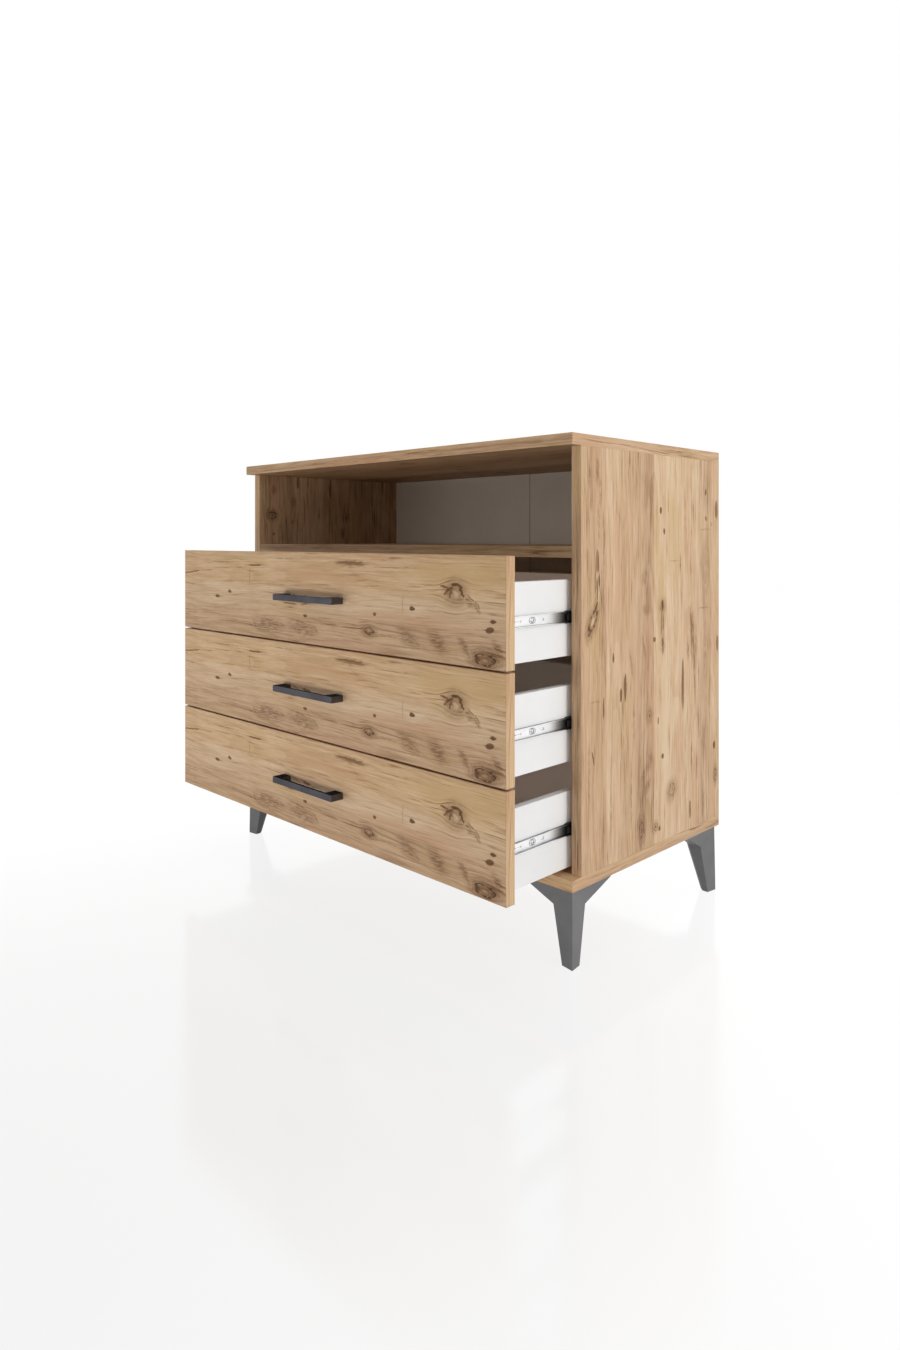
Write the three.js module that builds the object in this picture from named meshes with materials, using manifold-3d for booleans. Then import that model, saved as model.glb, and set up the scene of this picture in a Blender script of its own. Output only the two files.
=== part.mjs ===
// Low commode chest: an open niche over three drawers on ball rails, standing on four moulded corner legs.
// Millimetres, +Z up, X across the front from left to right, Y from front to back. The origin lies on the
// floor, in the middle of the chest in X and Y as it stands with its drawers open.
import * as THREE from "three";
import { mergeVertices } from "three/addons/utils/BufferGeometryUtils.js";
import { ConvexGeometry } from "three/addons/geometries/ConvexGeometry.js";
import Module from "manifold-3d";

// Carcass
const chestWidth = 900;
const chestDepth = 450;
const boardThickness = 18;
const nicheHeight = 154;
const frontSetback = 22; // sides and shelf stand back from the front edge of the top and the base

// Drawer fronts, which cover the bay from above the base to a little above the shelf's underside
const frontHeight = 160.5;
const frontThickness = 18;
const frontGap = 3;
const baseGap = 4;
const shelfCover = 5.5;
const sideReveal = 1; // from the chest's outer side to the end of a front
const closingGap = 2; // from a shut front to the sides' front edge
const drawerOpening = 151; // how far the drawers stand open

// Drawer boxes
const boxSideHeight = 118;
const boxSideLength = 350;
const boxBoard = 12;
const boxDrop = 3.5; // from a front's lower edge up to its box
const boxFloor = 3;
const boxFloorRise = 10;
const boxGrooveDepth = 5;
const boxDowelShares = [0.26, 0.8];

// Back, in two leaves that share one tape behind their joint
const backThickness = 3;
const backSetback = 17; // free depth behind the back
const backGroove = 7;
const backJointOffset = 10; // from the chest's middle to the joint
const backJointGap = 1.2;
const tapeWidth = 40;
const tapeThickness = 0.4;

// Handles
const handleLength = 171;
const handleHeight = 11;
const handleProjection = 25;
const handleBar = 5.5;
const handlePost = 20;
const handleTaper = 3; // how much a post widens towards the bar
const handleScrewGrip = 6;
const handleThreadSpare = 1.5;

// Corner legs: two faces that turn in from the corner, with a wing along each edge of the base
const legHeight = 120;
const legSideInset = 0.5; // added to every inset from the chest's side
const legFrontInset = 2; // added to every inset from the chest's front or rear
const legTopInset = 5;
const footInset = 3.5;
const footFace = 22.3;
const footTurn = 3.3;
const footEnd = 10.7;
const kinkDepth = 32.4;
const kinkReach = 45.5;
const kinkEnd = 25;
const wingReach = 102;
const wingInset = 2;
const wingWidth = 21;
const wingTip = 2.5;
const gussetReach = 80;
const gussetThickness = 4;
const legScrewReach = 76;
const cornerScrewReach = 46.5;
const headRoom = 0.8; // round a screw's head in its counterbore

// Ball rails
const railThickness = 10;
const railLength = 328;
const railSteel = 1;
const cabinetRailHeight = 27;
const cabinetRailLip = 1.6;
const cabinetRailInset = 3; // behind the front edge of the side
const drawerRailHeight = 17;
const drawerRailInset = 2; // behind the drawer's front
const railRise = 64; // from a front's lower edge up to the middle of its rails
const cageLength = 133;
const cageSetback = 66.5; // of a shut drawer's cage behind the cabinet rail's front end
const cageSheet = 1;
const ballsPerTrack = 5;
const ballPlay = 0.4;
const runClearance = 0.4;
const railHoles = [
  { reach: 27, width: 4.2, length: 4.2 },
  { reach: 41, width: 3, length: 3 },
  { reach: 91, width: 4.2, length: 8 },
];
const drawerScrewReaches = [67.5, 295];
const cabinetScrewReaches = [35, 280];

// Screws and dowels
const screwDiameter = 3.5;
const screwHeadDiameter = 6.6;
const screwHeadHeight = 1.9;
const screwPoint = 3;
const boardScrewLength = 14;
const boxScrewLength = 10;
const handleScrewDiameter = 4;
const handleScrewHead = 8;
const handleScrewHeadHeight = 2.4;
const carcassDowel = { diameter: 8, length: 30, depthInFace: 11.5 };
const boxDowel = { diameter: 6, length: 24, depthInFace: 8.5 };
const carcassDowelShares = [0.1, 0.5, 0.9];
const dowelEndPlay = 0.5;

// Fits and facets
const fitGap = 0.3;
const cutOverrun = 1;
const roundSides = 8;

// Worked out from the sizes above
const levels = ["bottom", "middle", "top"];
const handedness = { left: -1, right: 1 };
const halfWidth = chestWidth / 2;
const innerHalfWidth = halfWidth - boardThickness;
const bayHeight = baseGap + levels.length * frontHeight + (levels.length - 1) * frontGap - shelfCover;
const baseTop = legHeight + boardThickness;
const shelfBottom = baseTop + bayHeight;
const shelfTop = shelfBottom + boardThickness;
const sideTop = shelfTop + nicheHeight;
const backRear = chestDepth - backSetback;
const backFront = backRear - backThickness;
const shutFrontBack = frontSetback - closingGap;
const restDepth = chestDepth + drawerOpening + handleProjection - (shutFrontBack - frontThickness);
const restMiddle = chestDepth - restDepth / 2;
const halfBox = innerHalfWidth - railThickness;
const halfFront = halfWidth - sideReveal;

const finishes = {
  pine: { color: "#c3a27c", roughness: 0.62, metalness: 0 },
  white: { color: "#f1f0ee", roughness: 0.55, metalness: 0 },
  back: { color: "#e6e1d8", roughness: 0.6, metalness: 0 },
  plastic: { color: "#55575b", roughness: 0.5, metalness: 0 },
  handle: { color: "#4b4e56", roughness: 0.4, metalness: 0.7 },
  zinc: { color: "#c9cbcb", roughness: 0.35, metalness: 0.9 },
  cage: { color: "#1b1b1c", roughness: 0.45, metalness: 0 },
  screw: { color: "#a9abac", roughness: 0.35, metalness: 0.9 },
};

const wasm = await Module();
wasm.setup();

// Solids

function positionsOnly(geometry) {
  const bare = geometry.index ? geometry.toNonIndexed() : geometry.clone();
  for (const name of Object.keys(bare.attributes)) {
    if (name !== "position") bare.deleteAttribute(name);
  }
  return bare;
}

function solid(geometry) {
  const merged = mergeVertices(positionsOnly(geometry));
  return new wasm.Manifold(
    new wasm.Mesh({
      numProp: 3,
      vertProperties: merged.attributes.position.array,
      triVerts: new Uint32Array(merged.index.array),
    }),
  );
}

function geometryOf(manifold) {
  const mesh = manifold.getMesh();
  const geometry = new THREE.BufferGeometry();
  geometry.setAttribute("position", new THREE.BufferAttribute(new Float32Array(mesh.vertProperties), 3));
  geometry.setIndex(new THREE.BufferAttribute(new Uint32Array(mesh.triVerts), 1));
  geometry.computeVertexNormals();
  return geometry;
}

function shaped(body, { cuts = [], joins = [] }) {
  let result = solid(body);
  for (const cutter of cuts) result = result.subtract(solid(cutter));
  for (const addition of joins) result = result.add(solid(addition));
  return geometryOf(result);
}

// A box between two planes on each axis. A plane shared by two boxes comes out the same in both.
function block(xs, ys, zs) {
  const geometry = new THREE.BoxGeometry(1, 1, 1);
  const position = geometry.attributes.position;
  for (let i = 0; i < position.count; i += 1) {
    const ends = [position.getX(i) > 0 ? 1 : 0, position.getY(i) > 0 ? 1 : 0, position.getZ(i) > 0 ? 1 : 0];
    position.setXYZ(i, xs[ends[0]], ys[ends[1]], zs[ends[2]]);
  }
  return geometry;
}

// A round bar along one axis, from one plane to another.
function bar(axis, across, diameter, from, to) {
  const radius = diameter / 2;
  const geometry = new THREE.CylinderGeometry(radius, radius, Math.abs(to - from), roundSides);
  if (axis === "x") geometry.rotateZ(-Math.PI / 2);
  if (axis === "z") geometry.rotateX(Math.PI / 2);
  const middle = (from + to) / 2;
  const places = {
    x: [middle, across[0], across[1]],
    y: [across[0], middle, across[1]],
    z: [across[0], across[1], middle],
  };
  return geometry.translate(...places[axis]);
}

// A profile of [x, z] points, drawn along Y.
function drawnAlongY(points, from, to) {
  const shape = new THREE.Shape(points.map(([x, z]) => new THREE.Vector2(x, -z)));
  const geometry = new THREE.ExtrudeGeometry(shape, { depth: to - from, bevelEnabled: false });
  return geometry.rotateX(-Math.PI / 2).translate(0, from, 0);
}

// A screw with its head's seat at a point and its shank along a direction.
function screw(seat, direction, length, diameter, headDiameter, headHeight) {
  const shank = diameter / 2;
  const profile = [
    [0, -length],
    [shank, screwPoint - length],
    [shank, 0],
    [headDiameter / 2, 0],
    [headDiameter / 2, headHeight],
    [0, headHeight],
  ];
  const geometry = new THREE.LatheGeometry(profile.map(([r, y]) => new THREE.Vector2(r, y)), roundSides);
  const turn = new THREE.Quaternion().setFromUnitVectors(
    new THREE.Vector3(0, -1, 0),
    new THREE.Vector3(...direction),
  );
  return geometry.applyQuaternion(turn).translate(...seat);
}

function boardScrew(seat, direction, length) {
  return screw(seat, direction, length, screwDiameter, screwHeadDiameter, screwHeadHeight);
}

function piece(name, finish, geometry) {
  const mesh = new THREE.Mesh(geometry, new THREE.MeshStandardMaterial(finishes[finish]));
  mesh.name = name;
  return mesh;
}

function share(low, high, fraction) {
  return low + (high - low) * fraction;
}

// Carcass: five boards held by glued dowels, with the back let into grooves round it. A dowel belongs to the
// board whose end it is glued into, and stands in a bore in the other board's face.

function sideDowelDepths() {
  return carcassDowelShares.map((fraction) => share(frontSetback, backFront, fraction));
}

// The dowels of one butt joint: a board's end stands on the plane, the other board's face is on its far side.
function dowelJoint(kind, axis, plane, towardsFace, places) {
  const inFace = plane + towardsFace * kind.depthInFace;
  const inEnd = plane - towardsFace * (kind.length - kind.depthInFace);
  const bore = kind.diameter + 2 * fitGap;
  const boreEnd = inFace + towardsFace * dowelEndPlay;
  return {
    pins: places.map((across) => bar(axis, across, kind.diameter, inEnd, inFace)),
    bores: places.map((across) => bar(axis, across, bore, plane - towardsFace * cutOverrun, boreEnd)),
  };
}

function sideJoints(side) {
  const middle = side * (innerHalfWidth + boardThickness / 2);
  const places = sideDowelDepths().map((y) => [middle, y]);
  return {
    top: dowelJoint(carcassDowel, "z", sideTop, 1, places),
    base: dowelJoint(carcassDowel, "z", baseTop, -1, places),
  };
}

function shelfJoint(side) {
  const places = sideDowelDepths().map((y) => [y, shelfBottom + boardThickness / 2]);
  return dowelJoint(carcassDowel, "x", side * innerHalfWidth, side, places);
}

function backGrooveCutter() {
  const reach = innerHalfWidth + backGroove;
  return block(
    [-reach, reach],
    [backFront - fitGap, backRear + fitGap + tapeThickness],
    [baseTop - backGroove, sideTop + backGroove],
  );
}

function topPanel() {
  const joints = Object.values(handedness).map((side) => sideJoints(side).top);
  const body = block([-halfWidth, halfWidth], [0, chestDepth], [sideTop, sideTop + boardThickness]);
  return shaped(body, { cuts: [backGrooveCutter(), ...joints.flatMap((joint) => joint.bores)] });
}

function bottomPanel() {
  const joints = Object.values(handedness).map((side) => sideJoints(side).base);
  const body = block([-halfWidth, halfWidth], [0, chestDepth], [legHeight, baseTop]);
  const pilots = legScrewPlaces().map((place) => screwPilot(place, legHeight));
  return shaped(body, { cuts: [backGrooveCutter(), ...joints.flatMap((joint) => joint.bores), ...pilots] });
}

function sidePanel(side) {
  const joints = sideJoints(side);
  const xs = [side * innerHalfWidth, side * halfWidth].sort((a, b) => a - b);
  const body = block(xs, [frontSetback, chestDepth], [baseTop, sideTop]);
  const seats = [...levels.keys()].flatMap((index) => cabinetScrewSeats(side, index));
  const pilots = seats.map(([, y, z]) =>
    bar("x", [y, z], screwDiameter + 2 * fitGap, side * (innerHalfWidth - cutOverrun),
      side * (innerHalfWidth + boardScrewLength)),
  );
  return shaped(body, {
    cuts: [backGrooveCutter(), ...shelfJoint(side).bores, ...pilots],
    joins: [...joints.top.pins, ...joints.base.pins],
  });
}

function nicheShelf() {
  const body = block(
    [-innerHalfWidth, innerHalfWidth],
    [frontSetback, backFront - fitGap],
    [shelfBottom, shelfTop],
  );
  return shaped(body, { joins: Object.values(handedness).flatMap((side) => shelfJoint(side).pins) });
}

function backLeaf(side) {
  const outer = side * (innerHalfWidth + backGroove - fitGap);
  const joint = backJointOffset + (side * backJointGap) / 2;
  return block(
    [outer, joint].sort((a, b) => a - b),
    [backFront, backRear],
    [baseTop - backGroove + fitGap, sideTop + backGroove - fitGap],
  );
}

function backTape() {
  const halfTape = tapeWidth / 2;
  return block(
    [backJointOffset - halfTape, backJointOffset + halfTape],
    [backRear, backRear + tapeThickness],
    [baseTop - backGroove + fitGap, sideTop + backGroove - fitGap],
  );
}

function carcass() {
  const group = new THREE.Group();
  group.add(piece("top_panel", "pine", topPanel()));
  group.add(piece("bottom_panel", "pine", bottomPanel()));
  group.add(piece("niche_shelf", "pine", nicheShelf()));
  for (const [hand, side] of Object.entries(handedness)) {
    group.add(piece(`side_panel_${hand}`, "pine", sidePanel(side)));
    group.add(piece(`back_panel_${hand}`, "back", backLeaf(side)));
  }
  group.add(piece("back_panel_tape", "back", backTape()));
  return group;
}

// Legs: each is drawn for a corner at the origin, with its two faces along +X and +Y, and holds its screws

// One leg point on each face: along the face, in from the chest's edge, and down from the base.
function onBothFaces(along, inset, depth) {
  const z = legHeight - depth;
  return [new THREE.Vector3(along, inset, z), new THREE.Vector3(inset, along, z)];
}

function legInsetAt(depth) {
  return share(legTopInset, footInset, depth / legHeight);
}

function legSolid() {
  const turnShare = footTurn / footFace;
  const kinkCorner = legInsetAt(kinkDepth);
  const kinkInset = kinkCorner + (kinkReach - kinkCorner) * turnShare;
  const wingInner = wingInset + wingWidth;
  const corner = onBothFaces(legTopInset, legTopInset, 0);
  const foot = [
    ...onBothFaces(footInset, footInset, legHeight),
    ...onBothFaces(footInset + footFace, footInset + footTurn, legHeight),
    ...onBothFaces(footInset + footFace, footInset + footTurn + footEnd, legHeight),
  ];
  const kinkOuter = onBothFaces(kinkReach, kinkInset, kinkDepth);
  const kinkInner = onBothFaces(kinkReach, kinkInset + kinkEnd, kinkDepth);
  const kinkTop = onBothFaces(kinkReach, kinkInset + kinkEnd, 0);
  const wings = corner.map((cornerPoint, face) => {
    const tips = [0, wingTip].flatMap((depth) => [
      onBothFaces(wingReach, wingInset, depth)[face],
      onBothFaces(wingReach, wingInner, depth)[face],
    ]);
    return new ConvexGeometry([cornerPoint, ...tips, kinkOuter[face], kinkInner[face], kinkTop[face]]);
  });
  const gusset = [0, gussetThickness].flatMap((depth) => [
    ...onBothFaces(gussetReach, wingInner, depth),
    ...onBothFaces(wingInner, wingInner, depth),
  ]);
  const shaft = new ConvexGeometry([corner[0], ...foot, ...kinkOuter, ...kinkInner]);
  const neck = new ConvexGeometry([corner[0], ...kinkOuter, ...kinkInner, ...kinkTop]);
  return shaped(shaft, { joins: [neck, ...wings, new ConvexGeometry(gusset)] });
}

// Where the three screws of a leg stand, from the leg's corner.
function legScrewSpots() {
  const wingMiddle = wingInset + wingWidth / 2;
  return [
    [legScrewReach, wingMiddle],
    [wingMiddle, legScrewReach],
    [cornerScrewReach, cornerScrewReach],
  ];
}

function leg() {
  const seat = legHeight - gussetThickness;
  const spots = legScrewSpots();
  return shaped(legSolid(), {
    cuts: spots.map((spot) => bar("z", spot, screwHeadDiameter + 2 * headRoom, seat - kinkDepth, seat)),
    joins: spots.map((spot) => boardScrew([...spot, seat], [0, 0, 1], boardScrewLength)),
  });
}

const legCorners = [
  { name: "front_left", side: -1, end: 1 },
  { name: "front_right", side: 1, end: 1 },
  { name: "rear_left", side: -1, end: -1 },
  { name: "rear_right", side: 1, end: -1 },
];

function legOrigin({ side, end }) {
  const y = end > 0 ? legFrontInset : chestDepth - legFrontInset;
  return [side * (halfWidth - legSideInset), y];
}

function legScrewPlaces() {
  return legCorners.flatMap((corner) => {
    const [x, y] = legOrigin(corner);
    return legScrewSpots().map(([along, across]) => [x - corner.side * along, y + corner.end * across]);
  });
}

function screwPilot([x, y], face) {
  const depth = boardScrewLength - gussetThickness + fitGap;
  return bar("z", [x, y], screwDiameter + 2 * fitGap, face - cutOverrun, face + depth);
}

function legs() {
  const group = new THREE.Group();
  const geometry = leg();
  for (const corner of legCorners) {
    const [x, y] = legOrigin(corner);
    const mesh = piece(`leg_${corner.name}`, "plastic", geometry);
    mesh.position.set(x, y, 0);
    mesh.scale.set(-corner.side, corner.end, 1);
    group.add(mesh);
  }
  return group;
}

// Ball rails: profiles as [distance from the chest's side, height from the rail's middle]. A rail holds the
// screws through its web.

const cageStart = railSteel + screwHeadHeight + fitGap;
const drawerFlangeStart = cageStart + cageSheet + runClearance;
const trackTop = cabinetRailHeight / 2 - railSteel;
const trackBottom = drawerRailHeight / 2;
const trackMiddle = (trackTop + trackBottom) / 2;
const ballRadius = (trackTop - trackBottom) / 2 - ballPlay;
const ballReach = drawerFlangeStart + ballRadius;
const cageArmEnd = ballReach + ballRadius + fitGap;

function mirroredInHeight(points) {
  return [...points, ...points.map(([x, z]) => [x, -z]).reverse()];
}

function cabinetRailProfile() {
  const half = cabinetRailHeight / 2;
  const reach = railThickness - runClearance;
  return mirroredInHeight([
    [0, half],
    [reach, half],
    [reach, trackTop - cabinetRailLip],
    [reach - railSteel, trackTop - cabinetRailLip],
    [reach - railSteel, trackTop],
    [railSteel, trackTop],
  ]);
}

function drawerRailProfile() {
  const half = drawerRailHeight / 2;
  return mirroredInHeight([
    [railThickness, half],
    [drawerFlangeStart, half],
    [drawerFlangeStart, half - railSteel],
    [railThickness - railSteel, half - railSteel],
  ]);
}

function cageProfile() {
  const top = trackMiddle + cageSheet / 2;
  return mirroredInHeight([
    [cageStart, top],
    [cageArmEnd, top],
    [cageArmEnd, top - cageSheet],
    [cageStart + cageSheet, top - cageSheet],
  ]);
}

function railZ(index) {
  return frontBottom(index) + railRise;
}

function frontBottom(index) {
  return baseTop + baseGap + index * (frontHeight + frontGap);
}

const cabinetRailFront = frontSetback + cabinetRailInset;

function cabinetScrewSeats(side, index) {
  const x = side * (innerHalfWidth - railSteel);
  return cabinetScrewReaches.map((reach) => [x, cabinetRailFront + reach, railZ(index)]);
}

function cabinetRail() {
  const body = drawnAlongY(cabinetRailProfile(), cabinetRailFront, cabinetRailFront + railLength);
  const screws = cabinetScrewReaches.map((reach) =>
    boardScrew([railSteel, cabinetRailFront + reach, 0], [-1, 0, 0], boardScrewLength),
  );
  return shaped(body, { joins: screws });
}

function ballCage() {
  const front = cabinetRailFront + cageSetback;
  const balls = [];
  const pitch = cageLength / ballsPerTrack;
  for (const track of [-trackMiddle, trackMiddle]) {
    for (let i = 0; i < ballsPerTrack; i += 1) {
      const ball = new THREE.OctahedronGeometry(ballRadius);
      balls.push(ball.translate(ballReach, front + pitch * i + pitch / 2, track));
    }
  }
  return shaped(drawnAlongY(cageProfile(), front, front + cageLength), { joins: balls });
}

// A rail drawn for the right-hand side, hung at the chest's inner side or its mirror image.
function hungRail(name, finish, geometry, side, z) {
  const mesh = piece(name, finish, geometry);
  mesh.position.set(side * innerHalfWidth, 0, z);
  mesh.scale.set(-side, 1, 1);
  return mesh;
}

function cabinetRails() {
  const group = new THREE.Group();
  const geometry = cabinetRail();
  levels.forEach((level, index) => {
    for (const [hand, side] of Object.entries(handedness)) {
      group.add(hungRail(`cabinet_rail_${hand}_${level}`, "zinc", geometry, side, railZ(index)));
    }
  });
  return group;
}

function ballCages() {
  const group = new THREE.Group();
  const geometry = ballCage();
  levels.forEach((level, index) => {
    for (const [hand, side] of Object.entries(handedness)) {
      group.add(hungRail(`ball_cage_${hand}_${level}`, "cage", geometry, side, railZ(index)));
    }
  });
  group.position.y = -drawerOpening / 2;
  return group;
}

// Drawers: drawn shut, with Z counted from the lower edge of their front

const boxFront = shutFrontBack;
const boxRear = boxFront + boxSideLength;
const boxBottom = boxDrop;
const boxTop = boxBottom + boxSideHeight;
const halfInside = halfBox - boxBoard;
const floorBottom = boxBottom + boxFloorRise;

function boxDowelHeights() {
  return boxDowelShares.map((fraction) => share(boxBottom, boxTop, fraction));
}

function frontJoint(side) {
  const places = boxDowelHeights().map((z) => [side * (halfBox - boxBoard / 2), z]);
  return dowelJoint(boxDowel, "y", boxFront, -1, places);
}

function rearJoint(side) {
  const places = boxDowelHeights().map((z) => [boxRear - boxBoard / 2, z]);
  return dowelJoint(boxDowel, "x", side * halfInside, side, places);
}

function floorGrooveCutter() {
  const reach = halfInside + boxGrooveDepth;
  return block(
    [-reach, reach],
    [boxFront - boxGrooveDepth, boxRear - boxBoard + boxGrooveDepth],
    [floorBottom - fitGap, floorBottom + boxFloor + fitGap],
  );
}

function handleScrewXs() {
  const reach = (handleLength - handlePost) / 2;
  return [-reach, reach];
}

function drawerFront() {
  const body = block([-halfFront, halfFront], [boxFront - frontThickness, boxFront], [0, frontHeight]);
  const screwHoles = handleScrewXs().map((x) =>
    bar("y", [x, frontHeight / 2], handleScrewDiameter + 2 * fitGap,
      boxFront - frontThickness - cutOverrun, boxFront + cutOverrun),
  );
  const dowelBores = Object.values(handedness).flatMap((side) => frontJoint(side).bores);
  return shaped(body, { cuts: [floorGrooveCutter(), ...screwHoles, ...dowelBores] });
}

function drawerSide(side) {
  const xs = [side * halfInside, side * halfBox].sort((a, b) => a - b);
  const body = block(xs, [boxFront, boxRear], [boxBottom, boxTop]);
  const pilots = drawerScrewReaches.map((reach) =>
    bar("x", [boxFront + drawerRailInset + reach, railRise], screwDiameter + 2 * fitGap,
      side * (halfBox + cutOverrun), side * (halfBox - boxScrewLength)),
  );
  return shaped(body, {
    cuts: [floorGrooveCutter(), ...rearJoint(side).bores, ...pilots],
    joins: frontJoint(side).pins,
  });
}

function drawerBack() {
  const body = block(
    [-halfInside, halfInside],
    [boxRear - boxBoard, boxRear],
    [boxBottom, boxTop],
  );
  const dowels = Object.values(handedness).flatMap((side) => rearJoint(side).pins);
  return shaped(body, { cuts: [floorGrooveCutter()], joins: dowels });
}

function drawerFloor() {
  const reach = halfInside + boxGrooveDepth - fitGap;
  return block(
    [-reach, reach],
    [boxFront - boxGrooveDepth + fitGap, boxRear - boxBoard + boxGrooveDepth - fitGap],
    [floorBottom, floorBottom + boxFloor],
  );
}

// The handle's outline seen from above: a flat bar with a solid post at each end.
function handle() {
  const back = boxFront - frontThickness;
  const front = back - handleProjection;
  const half = handleLength / 2;
  const postFoot = half - handlePost;
  const postHead = postFoot - handleTaper;
  const outline = [
    [-half, back],
    [-half, front],
    [half, front],
    [half, back],
    [postFoot, back],
    [postHead, front + handleBar],
    [-postHead, front + handleBar],
    [-postFoot, back],
  ];
  const shape = new THREE.Shape(outline.map(([x, y]) => new THREE.Vector2(x, y)));
  const body = new THREE.ExtrudeGeometry(shape, { depth: handleHeight, bevelEnabled: false });
  body.translate(0, 0, (frontHeight - handleHeight) / 2);
  const threads = handleScrewXs().map((x) =>
    bar("y", [x, frontHeight / 2], handleScrewDiameter + 2 * fitGap, back + cutOverrun,
      back - handleScrewGrip - handleThreadSpare),
  );
  return shaped(body, { cuts: threads });
}

function handleScrew(x) {
  return screw([x, boxFront, frontHeight / 2], [0, -1, 0], frontThickness + handleScrewGrip,
    handleScrewDiameter, handleScrewHead, handleScrewHeadHeight);
}

// A round or long hole in the web of a drawer rail.
function railHole({ reach, width, length }) {
  const y = boxFront + drawerRailInset + reach;
  const straight = (length - width) / 2;
  const deep = [railThickness - railSteel - cutOverrun, railThickness + cutOverrun];
  const ends = [-straight, straight].map((step) => bar("x", [y + step, 0], width, ...deep));
  if (straight === 0) return [ends[0]];
  return [...ends, block(deep, [y - straight, y + straight], [-width / 2, width / 2])];
}

function drawerRail() {
  const front = boxFront + drawerRailInset;
  const body = drawnAlongY(drawerRailProfile(), front, front + railLength);
  const screws = drawerScrewReaches.map((reach) =>
    boardScrew([railThickness - railSteel, front + reach, 0], [1, 0, 0], boxScrewLength),
  );
  return shaped(body, { cuts: railHoles.flatMap(railHole), joins: screws });
}

function drawer(level, index) {
  const group = new THREE.Group();
  const named = (part) => `drawer_${level}_${part}`;
  group.add(piece(named("front"), "pine", drawerFront()));
  group.add(piece(named("back"), "white", drawerBack()));
  group.add(piece(named("bottom"), "white", drawerFloor()));
  group.add(piece(named("handle"), "handle", handle()));
  const rail = drawerRail();
  const [leftScrewX, rightScrewX] = handleScrewXs();
  group.add(piece(named("handle_screw_left"), "screw", handleScrew(leftScrewX)));
  group.add(piece(named("handle_screw_right"), "screw", handleScrew(rightScrewX)));
  for (const [hand, side] of Object.entries(handedness)) {
    group.add(piece(named(`side_${hand}`), "white", drawerSide(side)));
    group.add(hungRail(named(`rail_${hand}`), "zinc", rail, side, railRise));
  }
  group.position.set(0, -drawerOpening, frontBottom(index));
  return group;
}

const chest = new THREE.Group();
chest.add(carcass());
chest.add(legs());
chest.add(cabinetRails());
chest.add(ballCages());
levels.forEach((level, index) => chest.add(drawer(level, index)));
chest.position.y = -restMiddle;

export default chest;
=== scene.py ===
import math

import bmesh
import bpy
from mathutils import Matrix, Vector


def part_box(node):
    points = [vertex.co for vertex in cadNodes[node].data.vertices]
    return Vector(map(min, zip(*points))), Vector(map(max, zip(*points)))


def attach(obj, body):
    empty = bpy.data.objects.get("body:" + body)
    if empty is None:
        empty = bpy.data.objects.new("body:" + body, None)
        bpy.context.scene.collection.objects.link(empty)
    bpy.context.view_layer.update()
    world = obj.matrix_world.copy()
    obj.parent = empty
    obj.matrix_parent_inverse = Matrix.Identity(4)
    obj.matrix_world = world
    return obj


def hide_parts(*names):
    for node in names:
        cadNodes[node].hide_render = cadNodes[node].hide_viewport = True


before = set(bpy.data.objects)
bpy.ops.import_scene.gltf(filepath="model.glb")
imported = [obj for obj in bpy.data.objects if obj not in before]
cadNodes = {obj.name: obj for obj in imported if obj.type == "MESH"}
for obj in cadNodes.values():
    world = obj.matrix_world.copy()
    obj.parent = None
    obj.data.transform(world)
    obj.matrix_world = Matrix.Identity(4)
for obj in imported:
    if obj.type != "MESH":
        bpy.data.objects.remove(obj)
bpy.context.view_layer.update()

levels = ("bottom", "middle", "top")
hands = {"left": -1, "right": 1}
print("frame loaded:", len(cadNodes), "nodes")


def linear(code):  # a web colour as the linear colour that shaders want
    parts = [int(code[i : i + 2], 16) / 255 for i in (1, 3, 5)]
    return tuple(c / 12.92 if c <= 0.04045 else ((c + 0.055) / 1.055) ** 2.4 for c in parts) + (1,)


# The helpers below add nodes to the tree that is being made. A source is another node's socket, a web colour
# or a value
making = {"tree": None}


def feed(socket, source):
    if isinstance(source, bpy.types.NodeSocket):
        making["tree"].links.new(source, socket)
    else:
        socket.default_value = linear(source) if isinstance(source, str) else source


def addNode(kind, inputs=None, **settings):
    node = making["tree"].nodes.new("ShaderNode" + kind)
    for name, value in settings.items():
        setattr(node, name, value)
    for name, source in (inputs or {}).items():
        feed(node.inputs[name], source)
    return node.outputs


def calc(operation, *sources, clamp=False):
    return addNode("Math", dict(enumerate(sources)), operation=operation, use_clamp=clamp)[0]


def times(a, b):
    return calc("MULTIPLY", a, b)


def plus(a, b):
    return calc("ADD", a, b)


def larger(a, b):
    return calc("MAXIMUM", a, b)


def swing(value, amount):  # a value from 0 to 1 as a push to both sides of zero
    return calc("MULTIPLY_ADD", value, amount, -amount / 2)


def vectorCalc(operation, *sources):
    outputs = addNode("VectorMath", dict(enumerate(sources)), operation=operation)
    return outputs["Value" if operation in ("LENGTH", "DISTANCE") else "Vector"]


def alongY(value):
    return addNode("CombineXYZ", {"Y": value})[0]


def yOf(vector):
    return addNode("SeparateXYZ", {"Vector": vector})[1]


def mix(factor, a, b, kind="MIX"):
    return addNode("Mix", {0: factor, 6: a, 7: b}, data_type="RGBA", blend_type=kind)[2]


def spread(value, fromLow, fromHigh, toLow=0.0, toHigh=1.0, smooth=True):
    inputs = {"Value": value, "From Min": fromLow, "From Max": fromHigh, "To Min": toLow, "To Max": toHigh}
    return addNode("MapRange", inputs, interpolation_type="SMOOTHSTEP" if smooth else "LINEAR")[0]


def between(share, low, high):
    return spread(share, 0, 1, low, high, smooth=False)


def threefold(scale):  # one number stands for all three axes
    return (scale,) * 3 if isinstance(scale, int) else scale


def scaled(vector, scale):
    return vectorCalc("MULTIPLY", vector, threefold(scale))


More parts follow.
